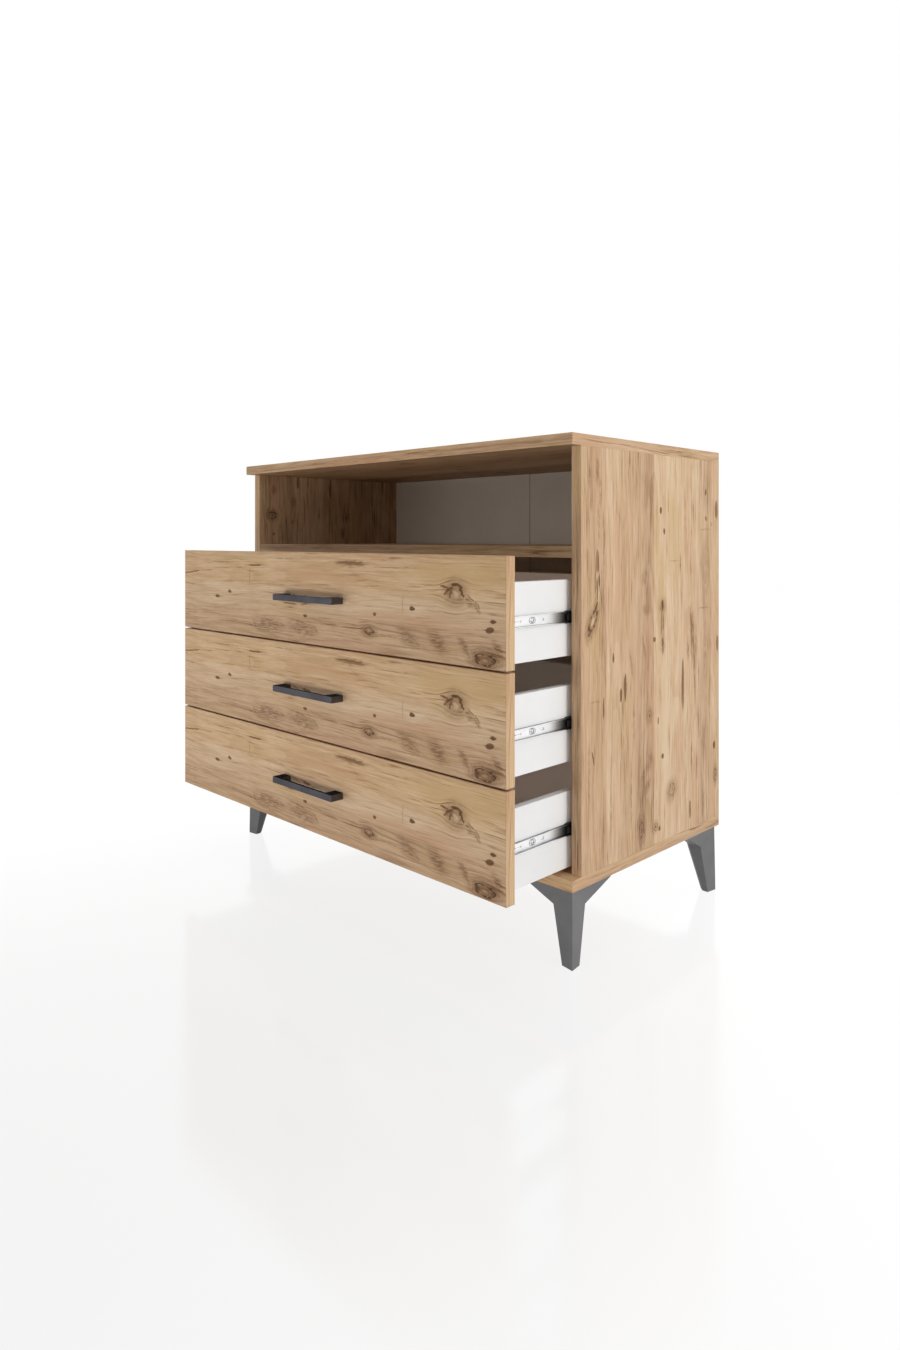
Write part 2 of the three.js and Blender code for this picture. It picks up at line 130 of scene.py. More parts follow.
def noiseParts(vector, scale, detail=2, roughness=0.5, distortion=0):
    return addNode("TexNoise", {
        "Vector": scaled(vector, scale), "Scale": 1, "Detail": detail, "Roughness": roughness,
        "Distortion": distortion,
    })


def noise(*settings):
    return noiseParts(*settings)[0]


def cellsIn(vector, scale, randomness, dimensions):
    # The distance to the nearest cell's middle, and three random values for each cell
    inputs = {"Vector": scaled(vector, scale), "Scale": 1, "Randomness": randomness}
    cells = addNode("TexVoronoi", inputs, voronoi_dimensions=dimensions)
    return cells["Distance"], addNode("SeparateColor", {"Color": cells["Color"]})


def ramp(value, stops):
    node = addNode("ValToRGB", {"Fac": value})[0].node
    elements = node.color_ramp.elements
    while len(elements) < len(stops):
        elements.new(1.0)
    for element, (place, colour) in zip(elements, stops):
        element.position = place
        element.color = linear(colour) if isinstance(colour, str) else (colour, colour, colour, 1)
    return node.outputs[0]


def newGroup(name, inputs, outputs):
    # Inputs and outputs are {kind: names of its sockets}
    tree = making["tree"] = bpy.data.node_groups.new(name, "ShaderNodeTree")
    for way, sockets in (("INPUT", inputs), ("OUTPUT", outputs)):
        for kind, names in sockets.items():
            for socket in names.split():
                tree.interface.new_socket(name=socket, in_out=way, socket_type="NodeSocket" + kind)
    return tree.nodes.new("NodeGroupInput").outputs, tree.nodes.new("NodeGroupOutput").inputs


def useGroup(name, inputs):
    return addNode("Group", inputs, node_tree=bpy.data.node_groups[name])


materials = {}


def newMaterial(name, view):
    materials[name] = bpy.data.materials.new(name)
    materials[name].use_nodes = True
    materials[name].diffuse_color = linear(view)
    making["tree"] = materials[name].node_tree


def objectPlace():
    return addNode("TexCoord")["Object"]


def coat(colour, roughness, bump=None):  # bump is (height, strength, distance)
    shader = making["tree"].nodes["Principled BSDF"].inputs
    feed(shader["Base Color"], colour)
    feed(shader["Roughness"], roughness)
    if bump:
        feed(shader["Normal"], addNode("Bump", dict(zip(("Height", "Strength", "Distance"), bump)))[0])
    return shader


# One knot from its radius, where 1 is its rim: a dark core, a broken bark rim, rings of grain round it and a
# soft halo
got, out = newGroup("knotProfile", {"Float": "Radius Break Core Rim Halo"}, {"Float": "Dark"})
radius = got["Radius"]
core = times(spread(radius, 0.2, 0.5, 1, 0), got["Core"])
rimPlace = calc("ABSOLUTE", calc("SUBTRACT", radius, 0.88))
rim = times(spread(rimPlace, 0.06, 0.3, 1, 0), got["Rim"])
rim = times(rim, spread(got["Break"], 0.38, 0.55, 0.45, 1))
ringTurn = calc("SINE", calc("MULTIPLY_ADD", radius, 14, times(got["Break"], 6)))
rings = times(spread(ringTurn, 0.1, 1), spread(radius, 1, 2.6, 0.55, 0))
rings = times(rings, got["Rim"])
halo = times(spread(radius, 0.8, 2.4, 1, 0), got["Halo"])
feed(out["Dark"], larger(core, larger(larger(rings, rim), halo)))

# A knot at a place, with the push that it gives the grain round it
got, out = newGroup(
    "knotAt", {"Vector": "Place Centre Size", "Float": "Turn Wobble Break Core Rim Halo"},
    {"Float": "Dark Push"},
)
away = vectorCalc("SUBTRACT", got["Place"], got["Centre"])
turning = {"Vector": away, "Angle": times(got["Turn"], -1)}
turned = addNode("VectorRotate", turning, rotation_type="Z_AXIS")[0]
plainRadius = vectorCalc("LENGTH", vectorCalc("DIVIDE", turned, got["Size"]))
knot = useGroup("knotProfile", {
    "Radius": plus(plainRadius, swing(got["Wobble"], 1)),
    **{socket: got[socket] for socket in ("Break", "Core", "Rim", "Halo")},
})
feed(out["Dark"], knot["Dark"])
feed(out["Push"], times(yOf(away), spread(plainRadius, 0.6, 3.2, -0.75, 0)))

# Grain of the decor. Tone runs from 0, brown heartwood, to 1, pale sapwood
got, out = newGroup(
    "pineGrain", {"Vector": "Place", "Float": "Tone Olive Marks"}, {"Color": "Color", "Float": "Dark"},
)
sway = swing(noise(got["Place"], (2.2, 9, 1)), 0.03)
swayed = vectorCalc("ADD", got["Place"], alongY(sway))
figure = noise(swayed, (1.3, 13, 1), 1, 0.4)
ringPhase = calc("FRACT", times(figure, 15))
lateWood = times(spread(ringPhase, 0.45, 0.93), spread(ringPhase, 0.95, 1, 1, 0))
bundles = spread(noise(swayed, (4, 42, 1)), 0.44, 0.64, 0.12, 1)
darkStreaks = times(spread(noise(swayed, (13, 260, 1), 3, 0.6), 0.5, 0.68), bundles)
tone = got["Tone"]
for scale, detail, roughness, amount in (  # from broad clouds to fibres
    ((1.8, 30, 1), 3, 0.55, 0.6), ((10, 34, 1), 2, 0.55, 0.5), ((8, 330, 1), 4, 0.62, 0.96),
    ((36, 1200, 1), 2, 0.6, 0.6),
):
    tone = plus(tone, swing(noise(swayed, scale, detail, roughness), amount))
tone = calc("SUBTRACT", tone, times(lateWood, 0.12))
tone = calc("ADD", calc("SUBTRACT", tone, times(darkStreaks, 0.5)), 0.075, clamp=True)
wood = ramp(tone, [
    (0, "#82603f"), (0.25, "#ab8663"), (0.5, "#c8a583"), (0.75, "#d9b998"), (1, "#e6cdb0"),
])
hue = noise(got["Place"], (3, 26, 1), 3)
wood = mix(spread(hue, 0.5, 0.7, 0, 0.48), wood, "#cb9d7a")
wood = mix(spread(hue, 0.47, 0.3, 0, 0.45), wood, "#cbab76")
wood = mix(got["Olive"], wood, "#fffaea", "MULTIPLY")
marked = ramp(got["Marks"], [(0, "#ffffff"), (0.35, "#d7d0c8"), (0.7, "#a08c75"), (1, "#5f4c3b")])
wood = mix(1, wood, marked, "MULTIPLY")
flecks = spread(noise(swayed, (34, 520, 1), 1), 0.66, 0.8)
feed(out["Color"], mix(times(flecks, 0.3), wood, "#6f5238"))
feed(out["Dark"], larger(larger(darkStreaks, got["Marks"]), times(lateWood, 0.5)))

# What the decor shows on each face that the photo shows. Lengths are millimetres, along and across the grain
# from the face's corner, and turns are degrees. A knot is (along, across, half length, half width, turn,
# core, rim, halo) and a mark (along, across, half length, half width, turn, strength), pale if its strength
# is below 0. Bands are (across, tone) and olive is (across, share), from edge to edge.
decors = {
    "pineFront": {
        "span": 160.5,
        "bands": [(0, 0.46), (45, 0.48), (58, 0.68), (96, 0.72), (103, 0.68), (146, 0.7), (160.5, 0.6)],
        "olive": [(0, 0.15), (50, 0.2), (92, 0.45), (104, 1), (160.5, 0.9)],
        "knots": [
            (799, 106, 15, 12, 8, 0, 0.5, 0.4), (602, 35, 11.5, 6, 0, 0, 1, 0.35),
            (858, 12.5, 20, 9.2, -4, 0, 1, 0.42),
        ],
        "marks": [
            (705, 77, 8, 5, 0, 0.9), (616, 63, 5, 3.2, 0, 0.75), (873.5, 67.6, 8.5, 3.6, 0, 0.9),
            (427.6, 48.8, 8, 3.5, 0, 0.8), (866.5, 55.3, 10.5, 6.2, 14, 0.8), (800, 104, 8.5, 8, 0, -0.45),
            (857, 12, 8.5, 3.4, -4, -0.35), (858, 12.5, 20.5, 9.2, -4, 0.58), (843, 12, 8, 6, 30, 0.8),
            (873, 12, 5, 7, 0, 0.75), (178, 81.8, 8, 4.2, -12, 0.8), (131.8, 70.6, 10, 4, 0, 0.85),
            (137, 70.6, 30, 1.6, 0, 0.45), (200, 76, 30, 1.4, 5, 0.35), (602, 35, 4.5, 2.4, 0, -0.4),
            (556, 144, 70, 8, 0, 0.5), (551, 145, 48, 2.2, 0, 0.7), (566, 142.5, 38, 1.8, 0, 0.62),
            (269, 135, 30, 1.8, 0, 0.75), (249, 117, 1.6, 24, 0, 0.42), (252, 100.5, 24, 1.2, 0, 0.25),
            (684, 83, 1.4, 24, 0, 0.34), (30, 116.5, 42, 2.2, 6, 0.66), (88, 121.5, 45, 1.8, 3, 0.45),
            (786, 110, 12, 3.6, 24, 0.84), (797.5, 117.5, 11, 4, 4, 0.96), (811.5, 107, 13, 3, -62, 0.92),
            (788.5, 102.5, 10, 2.8, 62, 0.82), (807, 116, 9.5, 3.6, -32, 0.88),
            (776, 113.5, 12, 2.8, -12, 0.76), (780, 105, 8, 3.6, 40, 0.7), (808, 95.5, 11, 2.4, 8, 0.56),
            (794, 109, 30, 19, 10, 0.46), (786, 107, 11, 7.5, 30, 0.55), (826, 93, 20, 8.5, -38, 0.46),
            (842, 85, 16, 6, -45, 0.46), (830, 98.5, 11, 1.6, -30, 0.6), (844, 90, 10, 1.4, -48, 0.55),
            (695, 32, 36, 19, -24, 0.38), (712, 27, 18, 1.6, -35, 0.46), (762, 29, 34, 18.5, -38, 0.42),
            (766, 23, 20, 1.6, -48, 0.48), (757, 32, 12, 1.4, -30, 0.46), (815, 30, 25, 10.5, -50, 0.42),
            (824, 20, 15, 1.5, -52, 0.48), (882, 30, 25, 10.5, -55, 0.42), (890, 24, 17, 1.5, -58, 0.48),
            (315, 24.5, 76, 21, 0, 0.42), (302, 35, 48, 2.2, -4, 0.5), (352, 28, 22, 2.4, -28, 0.5),
            (266, 24, 13, 2.4, -62, 0.48), (353, 27, 14, 7, 0, 0.42), (418, 26, 66, 19, -4, 0.38),
            (412, 37.5, 48, 2.2, -5, 0.48), (458, 26.5, 17, 2.6, -42, 0.5), (436, 15.5, 33, 2.4, 4, 0.49),
            (380, 62, 30, 2, 4, 0.42), (420, 83, 24, 1.8, -4, 0.42), (455, 79, 20, 2.6, 4, 0.4),
            (380, 68.3, 30, 2, -2, 0.6), (425, 69.7, 16, 1.8, 12, 0.56), (400, 82.8, 17, 1.8, -17, 0.58),
            (432, 81.2, 16, 3, -2, 0.78), (424, 83.2, 6, 2.2, 22, 0.7), (665, 139, 90, 1.6, 1, 0.3),
            (380, 149, 120, 1.8, 0, 0.3), (150, 139, 100, 1.6, 1, 0.3), (120, 48, 140, 2.6, 0, 0.22),
            (640, 30, 70, 3, 0, 0.26), (690, 16, 90, 2.6, 0, 0.24),
        ],
    },
    "pineSide": {
        "span": 450,
        "bands": [
            (0, 0.55), (87.5, 0.5), (89, 0.72), (127, 0.7), (129, 0.54), (175, 0.56), (177, 0.42), (225, 0.4),
            (228, 0.76), (276, 0.82), (306, 0.8), (345, 0.72), (379, 0.7), (381, 0.56), (421, 0.6),
            (424, 0.68), (450, 0.68),
        ],
        "olive": [(0, 0.3), (172, 0.3), (180, 0), (220, 0.1), (235, 0.5), (375, 0.4), (385, 0), (430, 0.6)],
        "knots": [
            (406, 52.5, 19, 7.5, 27, 0, 1, 0.4), (418, 253, 8.5, 6, 0, 0.95, 0.6, 0.25),
            (355, 254, 13, 5, 0, 0.6, 0.5, 0.2), (237.6, 213, 9.5, 6.2, 0, 0.8, 0.55, 0.3),
            (51, 189, 15, 7.2, 0, 0.55, 0.75, 0.25), (99, 284, 12, 10, 25, 0.45, 0.6, 0.3),
            (96.5, 436, 12.5, 5.8, 0, 0.6, 0.65, 0.25), (46.5, 232.4, 6.5, 6.2, 0, 0.9, 0.7, 0.25),
        ],
        "marks": [
            (404.5, 52, 12, 3.6, 27, -0.6), (437, 67.2, 24, 1.7, 4, -0.6), (426, 60.5, 15, 3, 24, 0.8),
            (455, 64, 24, 2.4, -3, 0.66), (469, 69, 13, 3, 0, 0.78), (388, 44, 11, 2.8, 34, 0.75),
            (499, 64, 24, 6.2, 0, 0.52), (495, 66.8, 19, 2, 0, 0.75), (420.5, 253.5, 13, 5, 0, 0.88),
            (386, 253.5, 36, 8.5, 0, 0.4), (390, 250, 33, 1.6, 3, 0.6), (386, 257.2, 33, 1.6, -3, 0.56),
            (356, 254.5, 11, 4.8, 0, 0.78), (344, 255.2, 9, 3.4, 0, 0.66), (582, 248, 7.5, 4.2, 0, 0.9),
            (546.5, 258.8, 6.5, 4, 0, 0.8), (618, 401, 7.5, 4.8, 0, 0.7), (571, 402, 6, 4.5, 0, 0.6),
            (561, 422, 8, 5, 0, 0.4), (587.6, 440, 22, 7.5, 0, 0.6), (343.5, 107.6, 10, 3.2, 0, 0.8),
            (364, 228, 5.5, 5, 0, 0.75), (293.5, 141, 30, 5, 0, 0.72), (281.8, 129, 15, 4.8, 0, 0.72),
            (267, 80.6, 22, 3, 0, 0.62), (193.5, 53, 16, 2, -16, 0.75), (224.7, 240, 8, 3, 0, 0.62),
            (162.4, 254, 6, 4.8, 0, 0.85), (40.6, 244, 5.5, 4.4, 0, 0.8), (52, 345, 22, 4.8, 0, 0.62),
            (146.5, 350, 36, 4.5, 0, 0.45), (340, 444, 20, 6, 0, 0.55), (152, 432, 9, 6, 0, 0.8),
            (276, 320.6, 62, 6.2, 0, 0.58), (284, 319.5, 48, 2.2, 0, 0.78), (364, 353, 70, 10.5, 0, 0.48),
            (372, 350, 36, 2.4, 2, 0.62), (330, 359, 46, 2.2, -1, 0.66), (262, 362.5, 40, 1.8, 0, 0.6),
            (338, 338, 33, 6, 0, 0.42), (395, 347, 30, 4, 0, 0.42), (290, 361, 50, 4.5, 0, 0.42),
            (340, 365.5, 60, 3, 0, 0.4), (487.6, 312, 24, 3.2, 0, 0.5), (480, 348, 40, 3.2, 0, 0.35),
            (580, 328, 50, 3, 0, 0.34), (295, 375, 30, 3, 0, 0.42), (634.7, 44, 40, 5, 0, 0.42),
            (640, 64.7, 35, 6, 0, 0.44), (605, 72, 60, 6, 0, 0.3), (555, 68, 50, 5, 0, 0.34),
            (530, 81, 70, 3.5, 0, 0.3), (440, 80, 40, 3.5, 0, 0.34), (460, 59, 50, 2.2, 0, 0.46),
            (452, 75.5, 50, 2.2, 0, 0.46), (120, 206, 26, 13, 28, 0.36), (160, 212, 28, 11, 20, 0.3),
            (145, 196, 20, 4, 35, 0.34), (415, 205, 13, 20, 10, 0.3), (470, 198, 20, 15, 12, 0.26),
            (352, 196, 35, 5, -14, 0.3), (230, 166, 50, 4.5, 0, 0.4), (110, 158, 80, 4, 0, 0.34),
            (330, 158, 34, 5, -12, 0.32), (100, 101, 90, 4, 0, 0.3), (160, 42, 110, 3.5, 0, 0.26),
            (60, 80, 70, 3.5, 0, 0.3), (494.7, 291, 1.8, 19, 0, 0.42), (550.6, 401, 2, 30, 0, 0.42),
            (408, 394, 2.2, 28, 0, 0.4), (280, 59, 1.6, 23, 0, 0.34), (620, 405, 60, 20, 0, 0.16),
            (470, 401, 90, 22, 0, 0.2), (330, 398, 90, 10, 0, 0.24), (170, 392, 50, 12, 0, 0.3),
            (60, 390, 50, 10, 0, 0.34), (240, 415, 90, 5, 0, 0.26),
        ],
    },
    # painted shade: the niche side's tones are set low for the shade inside the niche, on top of its staves'
    # own tones
    "pineNiche": {
        "span": 450,
        "bands": [
            (0, 0.38), (40, 0.36), (66, 0.33), (68, 0.29), (112, 0.3), (116, 0.5), (197, 0.56), (199, 0.46),
            (268, 0.42), (272, 0.3), (360, 0.3), (450, 0.36),
        ],
        "olive": [(0, 0), (450, 0.2)],
        "knots": [
            (587, 57, 8.5, 9.5, 0, 0.55, 1, 0.35), (644, 59.5, 6, 4.5, 0, 0.3, 0.5, 0.2),
            (618.5, 114, 7, 3.8, 0, 0.95, 0.5, 0.3), (585, 266, 8, 5, 0, 0.95, 0.5, 0.35),
            (546.5, 257, 8, 4.8, 0, 0.95, 0.5, 0.35),
        ],
        "marks": [
            (545, 60, 5, 5, 0, 0.55), (665, 126, 22, 5, 0, 0.55), (653, 219, 30, 4.5, 0, 0.7),
            (573, 111, 8, 4.5, 0, 0.45), (591, 186, 24, 4.5, 0, 0.45), (571, 93, 20, 3.5, 0, 0.4),
            (600, 145, 50, 3.5, 0, 0.35), (620, 153, 30, 2.5, 0, 0.35), (560, 225, 30, 3.5, 0, 0.35),
            (600, 264, 30, 3, 0, 0.4),
        ],
    },
}
figureOutputs = {"Float": "Marks Tone Olive", "Vector": "Bent"}


def inMetres(along, across, third):
    return along * 0.001, across * 0.001, third


def figureGroup(name, decor):
    # The knots and marks of one face: how dark they are, how the grain bends, its tone and its share of olive
    got, out = newGroup(name + "Figure", {"Vector": "Place"}, figureOutputs)
    place = got["Place"]
    ragged = noiseParts(place, (90, 190, 1), 4)
    broken = noise(place, (110, 210, 1))
    stray = vectorCalc("SUBTRACT", ragged[1], (0.5, 0.5, 0.5))
    loose = vectorCalc("ADD", place, vectorCalc("MULTIPLY", stray, (0.009, 0.0035, 0)))
    fray = spread(noise(place, (70, 480, 1)), 0.36, 0.6, 0.2, 1)
    dark, light, push = 0.0, 0.0, 0.0
    for along, across, halfLength, halfWidth, turn, core, rim, halo in decor["knots"]:
        knot = useGroup("knotAt", {
            "Place": place, "Centre": inMetres(along, across, 0),
            "Size": inMetres(halfLength, halfWidth, 1), "Turn": math.radians(turn), "Wobble": ragged[0],
            "Break": broken, "Core": core, "Rim": rim, "Halo": halo,
        })
        dark = larger(dark, knot["Dark"])
        push = plus(push, knot["Push"])
    for along, across, halfLength, halfWidth, turn, strength in decor["marks"]:
        local = addNode("Mapping", {
            "Vector": loose, "Location": inMetres(along, across, 0),
            "Rotation": (0, 0, math.radians(turn)), "Scale": inMetres(halfLength, halfWidth, 1),
        }, vector_type="TEXTURE")[0]
        spot = addNode("TexGradient", {"Vector": local}, gradient_type="SPHERICAL")[1]
        weak = abs(strength) <= 0.5  # weak marks fade out gently, and dark ones fray out into the grain
        spot = spread(spot, *((0.02, 0.8) if weak else (0.12, 0.4)))
        if strength < 0:
            light = larger(light, times(spot, -strength))
            continue
        if weak:
            spot = times(spot, times(fray, 1.35))
        dark = larger(dark, times(spot, strength))
    feed(out["Marks"], times(dark, calc("SUBTRACT", 1, light)))
    feed(out["Bent"], vectorCalc("ADD", place, alongY(push)))
    share = calc("DIVIDE", yOf(loose), decor["span"] * 0.001)
    tone, olive = [
        ramp(share, [(across / decor["span"], value) for across, value in decor[key]])
        for key in ("bands", "olive")
    ]
    feed(out["Tone"], plus(tone, times(light, 0.7)))
    feed(out["Olive"], olive)


for name, decor in decors.items():
    figureGroup(name, decor)

# Where no photo shows a face, knots are strewn over it at random
got, out = newGroup("strewnFigure", {"Vector": "Place"}, figureOutputs)
place = got["Place"]
middle, pick = cellsIn(place, (4.2, 8.5, 1), 0.9, "2D")
radius = calc("DIVIDE", middle, between(pick[0], 0.012, 0.085))
radius = plus(radius, swing(noise(place, (90, 190, 1)), 1.3))
radius = plus(radius, times(calc("GREATER_THAN", pick[1], 0.62), 4))
knot = useGroup("knotProfile", {
    "Radius": radius, "Break": noise(place, (110, 210, 1)), "Core": 0.6, "Rim": 0.7, "Halo": 0.25,
})
pitch = spread(noise(place, (7, 95, 1), 1), 0.72, 0.82, 0, 0.5)
feed(out["Marks"], larger(knot["Dark"], pitch))
feed(out["Bent"], place)
stave = calc("FLOOR", calc("DIVIDE", yOf(place), 0.052))
stave = addNode("TexWhiteNoise", {"W": stave}, noise_dimensions="1D")["Value"]
feed(out["Tone"], between(stave, 0.38, 0.76))
feed(out["Olive"], spread(noise(place, (0.5, 22, 1), 1), 0.4, 0.6, 0.1, 0.6))

# Edge bands: plain wood in a few broad stripes along the edge
got, out = newGroup("edgeFigure", {"Vector": "Place"}, figureOutputs)
stripes = noise(got["Place"], (0.7, 120, 1), 1)
feed(out["Marks"], spread(noise(got["Place"], (25, 170, 1), 1), 0.74, 0.84, 0, 0.4))
feed(out["Bent"], got["Place"])
feed(out["Tone"], spread(stripes, 0.3, 0.7, 0.36, 0.72, smooth=False))
feed(out["Olive"], spread(stripes, 0.42, 0.6, 0.1, 0.9))

pines = {  # figure, shift of the tone, tint
    "pineFront": ("pineFrontFigure", 0, "#ffffff"),
    "pineSide": ("pineSideFigure", 0, "#ffffff"),
    # painted shade: a greyish tint darkens the niche's side
    "pineNiche": ("pineNicheFigure", 0, "#ebeeec"),
    "pinePlain": ("strewnFigure", 0, "#ffffff"),
    # painted shade: the top's underside, the niche's ceiling, is darkened in tone and tint
    "pineCeiling": ("strewnFigure", -0.1, "#c4bfb9"),
    # painted shade: the shelf's front edge is darkened by its tint
    "pineShelfEdge": ("edgeFigure", -0.08, "#d4d4d1"),
    "pineEdge": ("edgeFigure", 0, "#ffffff"),
    # painted shade: the front edges and the fronts' top and bottom edges are a little darker in tone
    "pineFrontEdge": ("edgeFigure", -0.08, "#ffffff"),
}
for name, (figure, toneShift, tint) in pines.items():
    newMaterial(name, "#c9a783")
    # The map tells where a point lies on its board: along the grain and across it
    parts = useGroup(figure, {"Place": addNode("UVMap", uv_map="grain")[0]})
    grain = useGroup("pineGrain", {
        "Place": parts["Bent"], "Tone": plus(parts["Tone"], toneShift), "Olive": parts["Olive"],
        "Marks": parts["Marks"],
    })
    coat(mix(1, grain["Color"], tint, "MULTIPLY"), between(grain["Dark"], 0.56, 0.68),
         (times(grain["Dark"], -1), 0.25, 0.0003))

# Chipboard core, where a rear edge has no band
newMaterial("chipboard", "#b8945f")
place = objectPlace()
middle, pick = cellsIn(place, (260, 620, 620), 1, "3D")
chip = ramp(pick[0], [(0, "#8f6c45"), (0.35, "#b08d60"), (0.7, "#caa978"), (1, "#dcc39a")])
chip = mix(spread(noise(place, 900), 0.55, 0.75, 0, 0.35), chip, "#6b4f31")
coat(chip, between(pick[0], 0.8, 0.95), (middle, 0.5, 0.0006))

# Raw rear of the hardboard back
newMaterial("hardboard", "#7c5b40")
place = objectPlace()
fibre = noise(place, 170, 4, 0.7, 0.6)
board = ramp(fibre, [(0.25, "#5f4430"), (0.5, "#7d5d42"), (0.75, "#9a7857")])
board = mix(spread(noise(place, 11, 3), 0.35, 0.7, 0, 0.35), board, "#8f6c4c")
coat(board, spread(fibre, 0.3, 0.7, 0.7, 0.85), (fibre, 0.35, 0.0004))

# A plain finish: its colour wanders from one tone to another with a cloud, and a finer skin lies on it
got, out = newGroup(
    "cloudySkin",
    {"Vector": "Place CloudScale SkinScale", "Float": "CloudDetail From To SkinDetail SkinRoughness",
     "Color": "First Second"},
    {"Color": "Color", "Float": "Cloud Skin"},
)
cloud = noise(got["Place"], got["CloudScale"], got["CloudDetail"])
share = spread(cloud, got["From"], got["To"])
feed(out["Color"], mix(share, got["First"], got["Second"]))
feed(out["Cloud"], cloud)
skin = noise(got["Place"], got["SkinScale"], got["SkinDetail"], got["SkinRoughness"])
feed(out["Skin"], skin)

# Painted shade on a drawer rail's sheet, standing in for the dark reflection and shadow of the chest's
# inside: darkest where its cage stops and fainter behind
got, out = newGroup("railGrease", {"Vector": "Place", "Float": "Skin"}, {"Float": "Mask"})
shadeReach = plus(yOf(got["Place"]), swing(got["Skin"], 0.012))
mask = times(spread(shadeReach, -0.166, -0.12), spread(shadeReach, -0.105, -0.06, 1, 0.35))
feed(out["Mask"], mask)

finishes = {  # cloud is (scale, detail, from, to), skin (scale, detail, roughness), bump (strength, distance)
    "whiteMelamine": {  # boards of the drawer boxes, with a fine orange peel
        "view": "#ededeb", "tones": ("#fafafa", "#f6f6f5"), "cloud": (9, 3, 0.4, 0.7), "skin": (420, 2, 0.5),
        "rough": (0.42, 0.5), "roughBy": "Cloud", "bump": (0.12, 0.0002),
    },
    "backLacquer": {  # face of the hardboard back
        "view": "#dedad2", "tones": ("#f1ede6", "#eae6de"), "cloud": (6, 3, 0.4, 0.7), "skin": (300, 2, 0.5),
        "rough": (0.5, 0.6), "roughBy": "Cloud", "bump": (0.15, 0.0002),
    },
    "paperTape": {  # over the joint of the back
        "view": "#d8cdb8", "tones": ("#dbd1bd", "#cbbfa6"), "cloud": ((14, 14, 120), 3, 0.4, 0.65),
        "skin": ((14, 14, 120), 3, 0.5), "rough": (0.55, 0.7), "bump": (0.3, 0.0004),
    },
    "legPlastic": {  # moulded, with a fine eroded texture
        "view": "#76777b", "tones": ("#747476", "#6c6c6e"), "cloud": (22, 3, 0.35, 0.7),
        "skin": (900, 3, 0.6), "rough": (0.48, 0.62), "bump": (0.25, 0.0002),
    },
    "handleMetal": {  # a dark metallic coat that mirrors the front behind it
        "view": "#5b616c", "tones": ("#5f5f64", "#55555a"), "cloud": ((30, 60, 60), 3, 0.35, 0.7),
        "skin": (700, 3, 0.6), "rough": (0.28, 0.38), "bump": (0.08, 0.0001), "metallic": 1,
        "edgeTint": (0.12, 0.12, 0.12, 1),
    },
    "screwSteel": {
        "view": "#b4b6b7", "tones": ("#d6d7d8", "#c0c1c2"), "cloud": (500, 3, 0.4, 0.65),
        "skin": (500, 3, 0.5), "rough": (0.24, 0.4), "metallic": 0.95,
    },
    "ballSteel": {
        "view": "#d4d6d7", "tones": ("#dadcdd", "#bfc1c2"), "cloud": (250, 2, 0.4, 0.65),
        "skin": (250, 2, 0.5), "rough": (0.1, 0.2), "metallic": 0.95,
    },
    "cagePlastic": {
        "view": "#161617", "tones": ("#171718", "#101011"), "cloud": (500, 3, 0.4, 0.65),
        "skin": (500, 3, 0.5), "rough": (0.34, 0.5), "bump": (0.15, 0.0001),
    },
}
# Zinc plated sheet of the rails, with the marks of the rolls along it: bright on the webs, darker on the
# bends and lips as painted shade, and with painted shade on the drawer rails near their front
webs = {"tones": ("#fafafa", "#f2f3f3"), "view": "#f2f3f3", "rough": (0.34, 0.4), "metallic": 0.7}
# painted shade: the darker tones of the bends and lips
bends = {"tones": ("#a2a3a5", "#858789"), "view": "#858789", "rough": (0.42, 0.48), "metallic": 0.95}
for name, look in (("Steel", webs), ("Bend", bends), ("Greased", webs), ("BendGreased", bends)):
    finishes["zinc" + name] = {
        **look, "cloud": (60, 3, 0.35, 0.7), "skin": ((900, 8, 900), 3, 0.6), "bump": (0.1, 0.0001),
        # how strong the painted shade is on the drawer rails' sheet
        "grease": 0.93 if "Greased" in name else 0,
    }
for name, finish in finishes.items():
    newMaterial(name, finish["view"])
    place = objectPlace()
    cloudScale, cloudDetail, fromLow, toHigh = finish["cloud"]
    skinScale, skinDetail, skinRoughness = finish["skin"]
    parts = useGroup("cloudySkin", {
        "Place": place, "CloudScale": threefold(cloudScale), "CloudDetail": cloudDetail, "From": fromLow,
        "To": toHigh, "SkinScale": threefold(skinScale), "SkinDetail": skinDetail,
        "SkinRoughness": skinRoughness, "First": finish["tones"][0], "Second": finish["tones"][1],
    })
    colour = parts["Color"]
    # painted shade: the drawer rail's sheet darkens towards near black where its cage stops
    if finish.get("grease"):
        mask = useGroup("railGrease", {"Place": place, "Skin": parts["Skin"]})["Mask"]
        colour = mix(times(mask, finish["grease"]), colour, "#141312")
    wear = spread(parts[finish.get("roughBy", "Skin")], 0.3, 0.7, *finish["rough"])
    shader = coat(colour, wear, (parts["Skin"], *finish["bump"]) if "bump" in finish else None)
    shader["Metallic"].default_value = finish.get("metallic", 0)
    shader["Specular Tint"].default_value = finish.get("edgeTint", (1, 1, 1, 1))
print("materials made:", len(materials))


def meshOf(name, shell):
    mesh = bpy.data.meshes.new(name)
    shell.to_mesh(mesh)
    shell.free()
    return mesh


def bevelAll(shell, radius, segments):
    bmesh.ops.bevel(shell, geom=shell.edges[:], offset=radius, segments=segments, affect="EDGES", profile=0.5,
                    clamp_overlap=True)


def roundedBox(low, high, radius, segments=2):
    shell = bmesh.new()
    size = Vector(high) - Vector(low)
    place = Matrix.Translation((Vector(low) + Vector(high)) / 2) @ Matrix.Diagonal((*size, 1))
    bmesh.ops.create_cube(shell, size=1, matrix=place)
    bevelAll(shell, min(radius, min(size) * 0.45), segments)
    return shell


